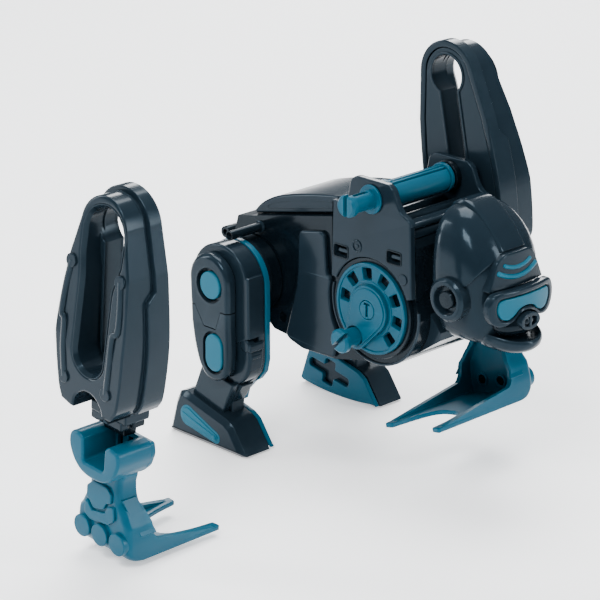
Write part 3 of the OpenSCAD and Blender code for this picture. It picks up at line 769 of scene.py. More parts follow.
# -------------------------------------------------------------- the front arms
@dataclass
class FrontArm:
    """Front arm in its own frame: X forward, Y outward from its inner face, Z up."""

    side: Side
    half: float = 23.0
    depth: float = 24.0
    plate: float = 10.0
    keyhole: float = 9.0
    channel: float = 5.0
    crown: float = 16.0
    ribs: Sequence[Sequence[Point]] = (
        ((-15.6, 61), (-17.4, 50), (-17.9, 38), (-15.9, 36), (-15.4, 24), (-14.2, 11)),
        ((14.2, 61), (15.8, 50), (16.2, 40.5), (13.6, 37.5), (13.3, 26), (11.8, 12)))
    crank_at: Point = (7.68, 95.88)
    loose_at: Corner = (-12.6, -157.0, 72.99)
    loose_lean: float = 4.7

    @property
    def hole_up(self) -> float:
        """Height of the keyhole; the loose arm shows a little shorter in the photograph."""
        return 78.8 if self.side is Side.RIGHT else 82.0

    @property
    def place(self) -> Matrix:
        """Own frame to world."""
        if self.side is Side.RIGHT:
            return tilt(self.loose_at, self.loose_lean) @ side_place(self.side)
        x, z = self.crank_at
        return tilt((x, ARM_IN_Y, z), -math.degrees(math.atan2(x, SHAFT_Z - z)))

    @property
    def body(self) -> str:
        """CAD body the arm belongs to."""
        return f"arm_{self.side.word}"

    def outline(self, grow: float = 0.0, low: float = -1.0) -> Loop:
        """Returns the arm's rounded outline, smaller by grow."""
        half, flank = self.half - grow, 20.5 - grow
        left = curved([(grow - 18.2, low + 1.5), (grow - 20.6, 8), (-half, 28), (0.5 - half, 44),
                       (-flank, 62)], 5)
        right = curved([(flank, 62), (half - 0.5, 44), (half, 28), (20.8 - grow, 8),
                        (17.6 - grow, low + 2.6)], 5)
        top = arc(0, self.hole_up - 0.5, self.crown - grow, 172, 8, 22)
        return dense([(-13, low), *left, *top, *right, (15.2 - grow * 0.5, low + 1.4)], 1.6)

    def face(self, height: float) -> float:
        """Returns the depth of the outer face at a height."""
        return self.depth - 8.64 * max(0.0, height - 30) / 68

    def seam(self, height: float) -> float:
        """Returns the depth of the stepped seam between the two halves at a height."""
        return 11.6 - 4.6 * smooth_step(50.5, 56.5, height) - 0.6 * smooth_step(60, 98, height)

    def onto(self, low: Callable[[float], float], high: Callable[[float], float], y0: float,
             y1: float) -> Warp:
        """Returns a warp that spreads depths y0 to y1 over the space between two surfaces."""
        def warp(spot: Vector) -> Vector:
            """Moves one vertex."""
            a, b = low(spot.z), high(spot.z)
            return Vector((spot.x, a + (spot.y - y0) * (b - a) / (y1 - y0), spot.z))
        return warp

    def lifted(self) -> Warp:
        """Returns a warp that stands small parts on the sloping outer face."""
        return lambda spot: Vector((spot.x, spot.y + self.face(spot.z), spot.z))

    def slot_loop(self, grow: float = 0.0) -> Loop:
        """Returns the outline of the long slot in the outer shell."""
        low, high, ahead = 8.4 + grow, 11.2 + grow, 0.9
        rise = [(smooth_step(0, 1, t), 53 + (self.hole_up - 62) * t)
                for t in (0.0, 0.2, 0.4, 0.6, 0.8)]
        front = [(low + (high + ahead - low) * t, z) for t, z in rise]
        back = [(-low - (high - ahead - low) * t, z) for t, z in reversed(rise)]
        top = arc(ahead, self.hole_up - 2.6, high, -8, 188, 28)
        return [*arc(0, 25, low, 180, 360, 20), *front, *top, *back]

    def keyhole_loop(self, grow: float = 0.0) -> Loop:
        """Returns the keyhole with its channel, larger by grow."""
        radius, half = self.keyhole + grow, self.channel + grow
        meet = math.degrees(math.acos(half / radius))
        across, drop = (-2.0, 2.6) if self.side is Side.RIGHT else (0.0, 0.0)
        loop = arc(0, self.hole_up - drop, radius, -meet, 180 + meet, 40)
        loop += [(-half, 22 - grow), *arc(0, 20 - grow * 0.5, half, 180, 360, 10)[1:-1],
                 (half, 22 - grow)]
        return [(x + across, z) for x, z in loop]

    def build(self) -> None:
        """Makes the arm's two halves, its wrist and its hand."""
        self.inner_half()
        self.outer_half()
        self.wrist()
        Hand(self).build()

    def inner_half(self) -> None:
        """Makes the inner half: a deep tray with the keyhole and its channel."""
        piece = side_piece("arm_inner_half", self.side, self.place)
        keyhole, crank_hole = self.keyhole_loop(), ring(0, 0, 3.7, 40)
        # floor of the tray, a little under the rim that runs round it
        piece.plate([self.outline(3.4, 2.2), keyhole, crank_hole], 0.55, self.plate, 0.35)
        rim = self.onto(lambda z: 0, self.seam, 0, 20)
        piece.plate([self.outline(), self.outline(3.0, 1.8)], 0, 20, 0.9, warp=rim)
        # raised edges of the keyhole on both faces
        piece.plate([self.keyhole_loop(1.3), keyhole], 0, 2.0, 0.3)
        piece.plate([self.keyhole_loop(1.5), keyhole], self.plate - 1, self.plate + 0.3, 0.25)
        piece.plate([fillet(rect(-9.5, -5.6, 12.6, -0.5), 1.2)], 0, 13.4, 0.8)
        piece.rod(0, 0, 6.2, 0, 1.6, 0.3, hole=3.7)
        piece.done(self.body, f"arm_inner_{self.side.word}")

    def outer_half(self) -> None:
        """Makes the outer half with its slot, rivets and raised ribs."""
        piece = side_piece("arm_outer_half", self.side, self.place)
        body = [p for p in self.outline(2.1) if p[1] > 0.2]
        body = [(-10.5, -1), *body, (13.2, -1), (9.5, -1), *arc(0.5, -0.5, 9.0, 0, 180, 20),
                (-8.5, -1)]
        walls = self.onto(lambda z: self.seam(z) - 1.0, self.face, 0, 20)
        piece.plate([body, self.slot_loop(1.5)], 0, 20, 1.15, warp=walls, steps=4)
        # chamfered rim that leads down into the slot
        chamfer = ((1.7, -0.6), (1.5, 0.0), (1.2, 0.0), (0.2, -1.7), (0.0, -2.0), (0.0, -14.0))
        rows = [[(x, max(self.face(z) + drop, self.plate - 0.4), z)
                 for x, z in self.slot_loop(grow)] for grow, drop in chamfer]
        piece.grid(rows, caps=False)
        step = self.onto(lambda z: 8.0, lambda z: self.seam(z) + 0.6, self.plate - 1, 13)
        piece.plate([self.outline(2.0), self.slot_loop()], self.plate - 1, 13, 0.3, warp=step)
        for path in self.ribs:
            spots = [(x, self.face(z) + 0.1, z) for x, z in path]
            piece.bead(smooth_path(spots, 4), 1.5, squash=0.66)
            for x, z in (path[0], path[-1]):
                piece.rod(x, z, 2.9, -0.6, 0.9, 0.28, warp=self.lifted(), steps=36)
        piece.done(self.body, f"arm_outer_{self.side.word}")

    def wrist(self) -> None:
        """Makes the wrist block and the neck that the hand clips round."""
        piece = side_piece("wrist_block", self.side, self.place)
        piece.box((-6.9, 1.4, -14.3), (6.5, 8.2, -5.2), 0.8, Slot.BLACK)
        piece.box((-9.5, 8.6, -9.4), (9.8, 13.2, -4.6), 0.9)
        piece.box((9.4, 2.2, -8.2), (12.2, 8.6, -5.0), 0.6, Slot.BLACK)
        piece.done(self.body, f"wrist_{self.side.word}")


@dataclass
class Hand:
    """Hand of a front arm, in the arm's frame: a clip-on cup over a scoop with two long prongs."""

    arm: FrontArm
    shift: float = -0.3
    cup_at: float = 2.0
    base: float = 69.0
    wall: float = 2.4
    back: float = 13.0
    widths: Sequence[Point] = ((-31, 10.8), (-34, 9.7), (-38, 9.5), (-43, 10.2), (-48, 13.4),
                               (-53.5, 16.4), (-60, 16.9), (-72, 16.4))

    @property
    def prong(self) -> float:
        """How far the prongs reach inwards."""
        return 39.5 if self.arm.side is Side.RIGHT else 51.6

    def width(self, height: float) -> float:
        """Returns half of the hand's width at a height."""
        return read_off(self.widths, height, eased=True)[0]

    def reach(self, height: float) -> float:
        """Returns how far inwards the side walls reach at a height."""
        tip = self.prong
        return read_off(((-31, 3.6), (-43, 2.6), (-51, -0.6), (-59, -1.6), (-61, -4),
                         (-67, 2 - tip), (-68.2, -tip), (-72, 0.6 - tip)), height)[0]

    def build(self) -> None:
        """Makes the hand."""
        place = self.arm.place @ Matrix.Translation((self.shift, 0, 0))
        piece = side_piece("hand_shell", self.arm.side, place)
        self.cup(piece)
        self.scoop(piece)
        self.trims(piece)
        piece.done(self.arm.body, f"hand_{self.arm.side.word}")

    def cup(self, piece: Piece) -> None:
        """Adds the cup that clips over the wrist, open upwards and outwards."""
        half = [(6.8, -15.0), (9.6, -13.2), (15.0, -14.4), (15.9, -19.5), (13.6, -25.6),
                (9.0, -30.2), (3.5, -31.8)]
        floor = [(-6.4, -24.6), (-5.6, -25.6), (5.6, -25.6), (6.4, -24.6)]
        sizes = (0.9, 2.2, 2.4, 4, 4, 4, 3)
        mid = self.cup_at
        outer = [(x + mid, z) for x, z in (*mirrored(half), *floor)]
        cup = fillet(outer, (*sizes, *reversed(sizes), 1.2, 0.5, 0.5, 1.2), 6)
        piece.plate([cup], 1.2, 21, 1.3, Slot.TEAL, steps=4)
        rear = fillet([(x + mid, z) for x, z in mirrored(half[2:])], 1.6)
        slots = [fillet(rect(mid + x - 1.6, -24.5, mid + x + 1.6, -16.4), 0.4, 3)
                 for x in (-4.0, 2.6)]
        piece.plate([rear, *slots], 0.2, 2.8, 0.5, Slot.TEAL)
        shade = fillet(rect(mid - 7, -25, mid + 6, -16), 0.5)
        piece.plate([shade], 0.3, 0.7, 0.05, Slot.BLACK)

    def plan(self, height: float) -> Loop:
        """Returns the hand's section at a height: its back and side walls round the open scoop."""
        half, reach, corner = self.width(height), self.reach(height), 3.0
        # the back rolls under towards the sole
        foot = max(0.0, -height - self.base + 7) / 7
        back = self.back - 6.5 * (1 - math.sqrt(max(0.0, 1 - foot * foot)))
        inner, wall = min(5.6, back - 2.6), half - self.wall
        right = [(half, reach), (half, (reach + 5) / 2), (half, min(5.0, back - 4)),
                 (half, back - corner), *arc(half - corner, back - corner, corner, 18, 90, 4),
                 (half * 0.4, back)]
        lip = [(half * 0.4, inner), (wall - 1.5, inner), (wall, inner - 0.7),
               (wall, (reach + 5) / 2), (wall, reach)]
        return [*mirrored(right), *[(-x, y) for x, y in reversed(lip)], *lip]

    def scoop(self, piece: Piece) -> None:
        """Adds the back of the hand, its side walls, the prongs and the palm floor."""
        heights = (-29.5, -31, -32.5, -34, *range(-36, -61, -2), -61, -62.5, -63.6, -64.8, -66, -67,
                   -67.8, -68.5, -69)
        piece.grid([[(x, y, height) for x, y in self.plan(height)] for height in heights],
                   Slot.TEAL)
        tip, sizes = self.prong, (3, 6, 6, 0.8, 0.5, 0.5, 1)
        web = mirrored([(4, 25.4 - tip), (8, 22 - tip), (10.8, 12 - tip), (12.2, -tip),
                        (16.2, -0.4 - tip), (16.8, 0.8 - tip), (16.4, 4)])
        piece.plate([fillet(web, (*sizes, *reversed(sizes)), 6)], 0, 2.2, 0.5, Slot.TEAL,
                    warp=lambda s: Vector((s.x, s.z, s.y - self.base)))
        hole = ((5.9, 3.2), (5.1, 3.2), (4.9, 2.9), (4.9, 2.3), (5.9, 2.2))
        for x in (-8.0, 3.4):
            piece.turned(hole, (x, 0, -61), slot=Slot.TEAL, steps=28)
            # thin black disc inside each hole: painted shade
            piece.rod(x, -61, 2.4, 5.35, 5.8, 0.05, Slot.BLACK, steps=28)

    def trims(self, piece: Piece) -> None:
        """Adds the knuckle discs, the stepped plates on the back and the side fields."""
        for x in (-11.2, 0.0, 11.2):
            piece.rod(x, -60.6, 5.0, 11.5, 14.8, 0.5, Slot.TEAL, steps=40)
        upper = [(-9.2, -40.4), (-5.4, -37.0), (3.9, -36.8), (6.2, -39.2), (6.3, -43.7),
                 (3.4, -44.6), (1.8, -48.0), (-4.7, -49.7), (-7.4, -46.6), (-9.2, -46.2)]
        lower = [(-10.3, -47.6), (-8.2, -48.0), (-5.4, -51.1), (2.5, -49.3), (4.2, -45.9),
                 (8.0, -44.6), (8.6, -50.6), (5.1, -54.0), (-7.0, -55.9), (-10.2, -53.6)]
        for loop in (upper, lower):
            piece.plate([fillet(loop, 0.8, 4)], 11.5, 14.3, 0.55, Slot.TEAL)
        for s in (-1, 1):
            field = fillet([(3.6, -41.2), (11.6, -41.2), (6.0, -57.4), (-2.6, -57.4)], 0.5, 3)
            piece.plate([field], -0.4, 0.55, 0.3, Slot.TEAL,
                        warp=lambda v, s=s: Vector((s * (self.width(v.z) + v.y), v.x, v.z)))


# -------------------------------------------------------------------- the head
FACING = Matrix(((0, 1, 0, 0), (1, 0, 0, 0), (0, 0, 1, 0), (0, 0, 0, 1)))


@dataclass
class Head:
    """Head on its neck pin. Face pieces are drawn in a frame that looks forward: X is world Y."""

    ear_at: Sequence[float] = (43.0, 96.1)
    ear_r: float = 9.8
    around: int = 96
    levels: Sequence[Sequence[float]] = ((74.6, 37.0, 55.0, 11.5), (76.0, 32.5, 58.0, 15.5),
                                         (79.0, 29.3, 60.4, 18.5), (84.0, 28.0, 61.4, 20.3),
                                         (92.0, 27.8, 61.8, 21.6), (100.0, 27.7, 61.8, 22.3),
                                         (108.0, 27.7, 61.0, 22.4), (114.0, 27.7, 59.4, 21.9),
                                         (119.0, 27.8, 57.0, 21.0), (124.0, 28.0, 53.6, 19.4),
                                         (128.0, 28.6, 49.8, 17.2), (131.0, 29.6, 46.2, 14.6),
                                         (133.0, 31.0, 42.6, 11.4), (134.2, 33.2, 39.6, 7.8),
                                         (134.8, 35.5, 37.5, 2.5))

    def build(self) -> None:
        """Makes the skull, face, ears and jaw."""
        self.shell("skull_cheeks", -0.9).done("torso", "skull")
        self.cap()
        self.crest()
        self.collar()
        self.brow()
        self.visor()
        self.muzzle()
        self.jaw()
        self.ears()

    def section(self, level: Sequence[float], grow: float) -> list[Vector]:
        """Returns the rounded plan of the skull at a level, larger by grow."""
        height, back, front, half = level
        middle = back + 0.42 * (front - back)
        loop = []
        for turn in turns(self.around):
            c, s = math.cos(turn), math.sin(turn)
            power = 2 / (2.7 if c > 0 else 4.5)
            reach = (front - middle if c > 0 else middle - back) + grow
            loop.append(Vector((middle + reach * math.copysign(abs(c) ** power, c),
                                (half + grow) * math.copysign(abs(s) ** (2 / 3.0), s), height)))
        return loop

    def shell(self, name: str, grow: float) -> Piece:
        """Returns the closed skull form, larger by grow."""
        rows = smooth_path([tuple(level[:3]) for level in self.levels], 3)
        halves = smooth_path([(level[0], level[3], 0) for level in self.levels], 3)
        sections = [self.section((r.x, r.y, r.z, h.y), grow) for r, h in zip(rows, halves)]
        return Piece(name).grid(sections)

    def cap_edge(self, x: float) -> float:
        """Returns the height of the cap's lower edge at a distance forward."""
        return read_off(((20, 98.5), (30, 99.5), (37, 100.5), (45, 100.6), (50, 102.4), (54, 106.0),
                         (57, 110.6), (59.5, 115.0), (62, 117.2), (70, 117.6)), x)[0]

    def level_at(self, height: float) -> tuple[float, float, float, float]:
        """Returns the skull's back, front and half width at any height."""
        return (height, *read_off(self.levels, height))

    def cap(self) -> None:
        """Makes the cap that lies over the skull, with a stepped lower edge."""
        cap, top = Piece("skull_cap"), self.levels[-1][0]
        starts = []
        for i in range(self.around):
            # the edge's height and the skull's plan there are found from each other
            height = 105.0
            for _ in range(6):
                height = self.cap_edge(self.section(self.level_at(height), 0.3)[i].x)
            starts.append(height)
        rims = ((-1.8, 0.4), (-0.9, 0.0), (-0.1, 0.0), (0.1, 0.1), (0.4, 0.8), (0.4, 1.2))
        rows = [[self.section(self.level_at(h + lift), grow)[i] for i, h in enumerate(starts)]
                for grow, lift in rims]
        steps = 22
        for step in range(1, steps + 1):
            t = math.sin(math.pi / 2 * step / steps)
            heights = [h + 1.2 + (top - h - 1.2) * t for h in starts]
            rows.append([self.section(self.level_at(h), 0.4 - 0.1 * t)[i]
                         for i, h in enumerate(heights)])
        cap.grid(rows)
        cap.done("torso", subdivide=1)

    def crest(self) -> None:
        """Makes the crest that runs over the skull from the nape to the brow."""
        crest = Piece("skull_crest")
        line = ((27.5, 118), (27.6, 124), (28.8, 129.4), (31.8, 133.5), (36.4, 135.1),
                (40.8, 134.0), (45.4, 130.9), (50.2, 126.7), (53.8, 122.5), (56.6, 118.8),
                (57.8, 116.8))
        spine = smooth_path([(x, 0, z) for x, z in line], 5)
        profile = ((-9.4, -2.8), (-8.4, -0.3), (-7.8, 0.95), (-7.1, 1.2), (0, 1.3), (7.1, 1.2),
                   (7.8, 0.95), (8.4, -0.3), (9.4, -2.8), (0, -5))
        rows = []
        for i, spot in enumerate(spine):
            along = (spine[min(i + 1, len(spine) - 1)] - spine[max(i - 1, 0)]).normalized()
            out = Vector((along.z, 0, -along.x))
            if out.dot(spot - Vector((42, 0, 108))) < 0:
                out = -out
            fade = smooth_step(0, 4, i)
            rows.append([spot + Vector((0, y * (0.82 + 0.18 * fade), 0))
                         + out * (h if h < 0 else h * fade) for y, h in profile])
        crest.grid(rows)
        crest.done("torso", subdivide=1)

    def collar(self) -> None:
        """Makes the pin and collar of the neck."""
        pin = Piece("neck_collar")
        profile = ((17, 0.1), (17, 5), (24.4, 5), (24.4, 7.4), (25, 8), (29, 8), (29.6, 7.4),
                   (29.6, 5), (36, 5), (36, 0.1))
        pin.turned(profile, (0, 0, 100), (1, 0, 0), Slot.BLACK)
        pin.done("torso", "neck_pin")

    def bent(self, front: float, fall: float = 0.012, lean: float = 0.0, low: float = 0.0) -> Warp:
        """Returns a warp that bends a face plate back towards its ends and leans its top back."""
        return lambda s: Vector((s.x, front + s.y - fall * s.x * s.x - lean * (s.z - low), s.z))

    def brow(self) -> None:
        """Makes the brow plate with its two curved inlays."""
        piece = Piece("brow_panel", FACING)
        loop = fillet(mirrored([(17.6, 101.6), (12.2, 114.2), (7.8, 116.8)]),
                      (1, 1.5, 1.5, 1.5, 1.5, 1))
        warp = self.bent(62.3, 0.006, 0.11, 102)
        piece.plate([loop], -4, 0.45, 0.7)
        piece.sliced(1.6).warped(warp)
        piece.done("torso", "brow_plate")
        bars = Piece("brow_bars", FACING)
        for half, ends, dip, radius in ((8.0, 112.0, 1.8, 0.95), (11.6, 109.2, 3.0, 1.15)):
            path = [(half * t, 0.3, ends - dip * (1 - t * t))
                    for t in (i / 10 for i in range(-10, 11))]
            bars.bead([warp(Vector(p)) for p in path], radius, Slot.TRIM, squash=1.1, steps=14)
            for p in (path[0], path[-1]):
                centre = warp(Vector(p))
                bars.ball(centre, (radius, radius * 1.1, radius), Slot.TRIM)
        bars.done("torso", "brow_inlays")

    def visor(self) -> None:
        """Makes the goggle frame and its lens, both notched for the nose."""
        half_frame = [(0, 91.2), (5.2, 90.2), (9.5, 87.2), (14.5, 86.6), (18.5, 88.8), (20.7, 94.0),
                      (20.0, 98.8), (16.9, 101.9), (9, 102.3), (0, 102.3)]
        half_lens = [(0, 94.0), (4.4, 93.1), (7.6, 90.6), (10.8, 89.4), (14.0, 90.3), (16.0, 93.2),
                     (16.2, 96.4), (14.6, 98.7), (8, 98.9), (0, 98.9)]
        frame_loop, lens_loop = (curved(mirrored(half, True), 5, True)
                                 for half in (half_frame, half_lens))
        warp = self.bent(67.8, 0.008)
        piece = Piece("visor_frame_shell", FACING)
        piece.plate([frame_loop, inset(lens_loop, -0.45)], -4.4, 0, 1.1, steps=4)
        piece.plate([inset(frame_loop, 1.0)], -5.0, -2.2, 0.3)
        piece.sliced(1.6).warped(warp)
        piece.done("torso", "visor_frame")
        lens = Piece("visor_lens_shell", FACING)
        lens.plate([lens_loop], -3, -0.15, 0.6, Slot.TRIM)
        lens.sliced(1.6).warped(warp)
        lens.done("torso", "visor_lens")

    def muzzle(self) -> None:
        """Makes the muzzle with its nose ring and nostrils."""
        piece = Piece("muzzle", FACING)
        piece.ball((0, 60.5, 85.2), (12.5, 8.6, 6.4), Slot.BLACK)
        piece.ball((0, 63.5, 87.2), (6.6, 6.4, 4.0), Slot.BLACK)
        nose = [(6.2 * math.cos(a), 87.2 + 3.9 * math.sin(a)) for a in turns(48)]
        nostril = ((0.75, 84.9), (0.75, 89.6), (3.9, 88.6), (3.9, 85.8))
        holes = [fillet([(s * x, z) for x, z in nostril], 0.5, 4) for s in (-1, 1)]
        piece.plate([nose, *holes], 66.4, 70.1, 0.3, Slot.DARK)
        # black backing behind the nostrils: painted shade in the holes
        piece.plate([inset(nose, 0.6)], 62.5, 68.0, 0.1, Slot.BLACK)
        piece.done("torso", "snout")

    def jaw(self) -> None:
        """Makes the lower jaw, a crescent with a rolled lip."""
        piece = Piece("jaw_shell")
        rows = []
        lip = ((1.4, 6.0), (1.3, 2.6), (0.3, 1.5), (0.1, 0.9), (0.6, 0.3), (1.9, 0.0), (3.8, 0.5),
               (5.4, 2.2), (6.5, 4.8), (7.0, 8.4))
        for drop, shrink in lip:
            row = []
            for i in range(49):
                turn = math.radians(-90 + 180 * i / 48)
                rise = 2.2 * abs(math.sin(turn)) ** 3
                row.append((55 + (17.6 - shrink) * math.cos(turn) ** 0.85,
                            (14.2 - shrink * 0.8) * math.sin(turn),
                            79.2 - drop + rise * (1 - drop / 14)))
            row.extend([(52, 13.2 - shrink * 0.8, row[-1][2]),
                        (52, -13.2 + shrink * 0.8, row[0][2])])
            rows.append(row)
        piece.grid(rows)
        piece.done("torso", "jaw", sharp=50)

    def ears(self) -> None:
        """Makes an ear ring with its cap on each side."""
        rings, caps = Piece("ear_rings_turned"), Piece("ear_caps_turned")
        x, z = self.ear_at
        rim = ((17, 0.1), (17, 9.6), (22.6, self.ear_r), (24.6, self.ear_r), (25.6, 8.7),
               (25.8, 8.3), (25.8, 6.9), (25.5, 6.5), (23.2, 6.2), (22.8, 5.9), (22.8, 0.1))
        middle = ((22, 0.1), (22, 4.0), (24.7, 4.0), (25.2, 3.6), (25.3, 0.1))
        for side in Side:
            rings.turned(rim, (x, 0, z), (0, side.value, 0))
            caps.turned(middle, (x, 0, z), (0, side.value, 0), Slot.BLACK)
        rings.done("torso", "ear_rings")
        caps.done("torso", "ear_caps")


# ------------------------------------------------- wheels, cranks and top shaft
@dataclass
class Crank:
    """Crank wheel of one side with its windows, its crank arm and its split pin."""

    side: Side
    reach: float = 16.3
    pin_angle: float = 28.1
    window_count: int = 10
    window_at: float = 170.7
    window_r: tuple[float, float] = (13.2, 18.7)
    window_half: float = 2.9
    hub_r: float = 11.0
    eye_r: float = 5.4
    pin_r: float = 3.4

    @property
    def pin(self) -> Point:
        """Place of the crank pin; the two cranks stand opposite each other."""
        turn = math.radians(self.pin_angle + (180 if self.side is Side.RIGHT else 0))
        return (self.reach * math.sin(turn), AXLE_Z + self.reach * math.cos(turn))

    def build(self) -> None:
        """Makes the wheel and the crank arm."""
        self.wheel()
        self.arm()

    def windows(self) -> list[Loop]:
        """Returns the wheel's window outlines."""
        near, far = self.window_r
        loops = []
        for i in range(self.window_count):
            turn = math.radians(self.window_at - 360 * i / self.window_count)
            pin = math.atan2(self.pin[1] - AXLE_Z, self.pin[0])
            if math.cos(turn - pin) > math.cos(math.radians(50)):
                continue
            out = Vector((math.cos(turn), math.sin(turn)))
            side = Vector((-out.y, out.x))
            half = self.window_half
            corners = [out * near - side * half * 0.86, out * far - side * half,
                       out * far + side * half, out * near + side * half * 0.86]
            loops.append(fillet([(p.x, AXLE_Z + p.y) for p in corners], 0.8, 3))
        return loops

    def wheel(self) -> None:
        """Makes the wheel with its raised rim and bevelled windows."""
        piece = side_piece("crank_wheel_face", self.side)
        piece.plate([ring(0, AXLE_Z, WHEEL_R, 96), *self.windows()], PLATE_Y - 3, PLATE_Y - 0.1,
                    0.4, Slot.DRIVE_TEAL)
        for radius, width, rise, steps in ((WHEEL_R, 1.5, 0.35, 96), (12.9, 1.3, 0.2, 80)):
            loops = [ring(0, AXLE_Z, radius, steps), ring(0, AXLE_Z, radius - width, steps)]
            piece.plate(loops, PLATE_Y - 1, PLATE_Y + rise, rise, Slot.DRIVE_TEAL)
        # thin black disc behind the windows: painted shade seen through them
        piece.rod(0, AXLE_Z, WHEEL_R - 0.8, PLATE_Y - 3.4, PLATE_Y - 3.0, 0.05, Slot.BLACK)
        piece.done("crank", f"crank_wheel_{self.side.word}")

    def arm_loop(self, grow: float = 0.0) -> Loop:
        """Returns the teardrop outline round the hub and the pin, smaller by grow."""
        x, z = self.pin
        dx, dz = x, z - AXLE_Z
        reach = math.hypot(dx, dz)
        hub, eye = self.hub_r - grow, self.eye_r + 0.8 - grow
        lean = math.degrees(math.atan2(dz, dx))
        spread = math.degrees(math.acos((hub - eye) / reach))
        return [*arc(0, AXLE_Z, hub, lean + spread, lean + 360 - spread, 48),
                *arc(x, z, eye, lean - spread, lean + spread, 24)]

    def arm(self) -> None:
        """Makes the crank arm with a hole for the axle's end, and its split pin."""
        x, z = self.pin
        piece = side_piece("crank_arm_plate", self.side)
        top = PLATE_Y + 2.4
        eye = ring(x, z, self.eye_r - 0.7, 40)
        end = ring(0, AXLE_Z, 4.5, 40)
        piece.plate([self.arm_loop(), eye, end], PLATE_Y - 0.2, top - 0.5, 0.35, Slot.DRIVE_TEAL)
        piece.plate([self.arm_loop(1.2), ring(x, z, self.eye_r, 40), end], top - 1.4, top, 0.3,
                    Slot.DRIVE_TEAL)
        # thin black disc round the pin's foot: painted shade in the gap round the pin
        piece.rod(x, z, self.eye_r - 0.3, PLATE_Y - 0.1, PLATE_Y + 0.3, 0.05, Slot.BLACK)
        split = Vector((math.cos(math.radians(135)), math.sin(math.radians(135))))
        self.prongs(piece, (x, z), split, self.pin_r + 0.9, PLATE_Y, PLATE_Y + 12.5, 9.2)
        piece.done("crank", f"crank_arm_{self.side.word}")

    @staticmethod
    def prongs(piece: Piece, at: Point, split: Vector, radius: float, low: float, high: float,
               solid: float, gap: float = 1.0, lip: float = 1.3, head: float = 3.2) -> None:
        """Adds a round pin that ends in two barbed prongs.

        Args:
            piece: Piece to add to.
            at: Axis of the pin.
            split: Direction across the slit.
            radius: Pin radius.
            low: Depth of the foot.
            high: Depth of the tip.
            solid: Depth past the foot where the slit starts.
            gap: Half width of the slit.
            lip: How far the heads stand out.
            head: Depth of a head.
        """
        axis = Vector(at)
        across = Vector((-split.y, split.x))
        slit = low + solid
        piece.rod(at[0], at[1], radius, low, slit + 0.2, 0.2, Slot.DRIVE_TEAL, steps=40)
        for way in (1, -1):
            rows = []
            for depth, grow in ((slit - 0.5, 0.0), (high - head, 0.0), (high - head + 0.2, lip),
                                (high - 1.1, lip), (high - 0.2, lip * 0.45), (high, lip * 0.2)):
                size = radius + grow
                flat = math.degrees(math.acos(gap / size))
                spots = [axis + way * split * x + across * 0.94 * y
                         for x, y in arc(0, 0, size, -flat, flat, 14)]
                rows.append([(p.x, depth, p.y) for p in spots])
            piece.grid(rows, Slot.DRIVE_TEAL)


@dataclass
class Axle:
    """Drive axle with a slotted hub disc at each end."""

    steel_r: float = 3.0
    disc_r: float = 4.3
    top: float = PLATE_Y + 2.5

    def build(self) -> None:
        """Makes the axle."""
        piece = Piece("axle_with_discs")
        for way in (1, -1):
            ends = span(way, PLATE_Y - 0.4, self.top)
            piece.rod(0, AXLE_Z, self.disc_r, *ends, 0.35, Slot.DRIVE_TEAL, steps=48)
        slots = Piece("slots")
        tee = [(x, AXLE_Z + z)
               for x, z in mirrored([(0.75, -3.1), (0.75, 2.3), (1.8, 2.3), (1.8, 3.3)])]
        for way in (1, -1):
            slots.plate([tee], *span(way, self.top - 1.1, self.top + 2), 0.01)
        piece.cut(slots)
        piece.rod(0, AXLE_Z, self.steel_r, 0.4 - PLATE_Y, PLATE_Y - 0.4, 0.1, Slot.STEEL, steps=40)
        piece.done("crank", "drive_axle")


@dataclass
class TopShaft:
    """Shaft across the top with collars, ribs and split ends for the arms' keyholes."""

    radius: float = 6.0
    neck: float = 4.3
    flange: float = 6.6
    tip: float = ARM_IN_Y + 13.6

    def build(self) -> None:
        """Makes the shaft."""
        piece = Piece("shaft_barrel")
        half = TRUNK_Y - 0.1
        # four grooves between the ribs along the top of the shaft
        grooves = {angle + more for angle in (60, 80, 100, 120) for more in (0, 4)}
        section = []
        for angle in range(0, 360, 4):
            radius, turn = self.radius - (0.9 if angle in grooves else 0), math.radians(angle)
            section.append((radius * math.cos(turn), radius * math.sin(turn)))
        rows = [[(x * size, y, SHAFT_Z + z * size) for x, z in section]
                for y, size in ((-half, 0.9), (0.4 - half, 1.0), (half - 0.4, 1.0), (half, 0.9))]
        piece.grid(rows, Slot.DRIVE_TEAL)
        for way in (1, -1):
            for lo, hi, radius, slot in ((17.6, 19.6, 6.9, Slot.DRIVE_TEAL),
                                         (20.2, 23.5, 7.4, Slot.BLACK),
                                         (27.0, 28.3, self.flange, Slot.DRIVE_TEAL)):
                piece.rod(0, SHAFT_Z, radius, *span(way, lo, hi), 0.4, slot)
            piece.rod(0, SHAFT_Z, 4.4, *span(way, 23.0, 27.4), 0.1, Slot.DRIVE_TEAL)
        piece.done("torso", "upper_shaft")
        for side in Side:
            ends, split = side_piece("shaft_prongs", side), Vector((1, 0))
            Crank.prongs(ends, (0, SHAFT_Z), split, self.neck, 28.0, self.tip, 2.2, 1.1, 1.1)
            ends.done("torso")


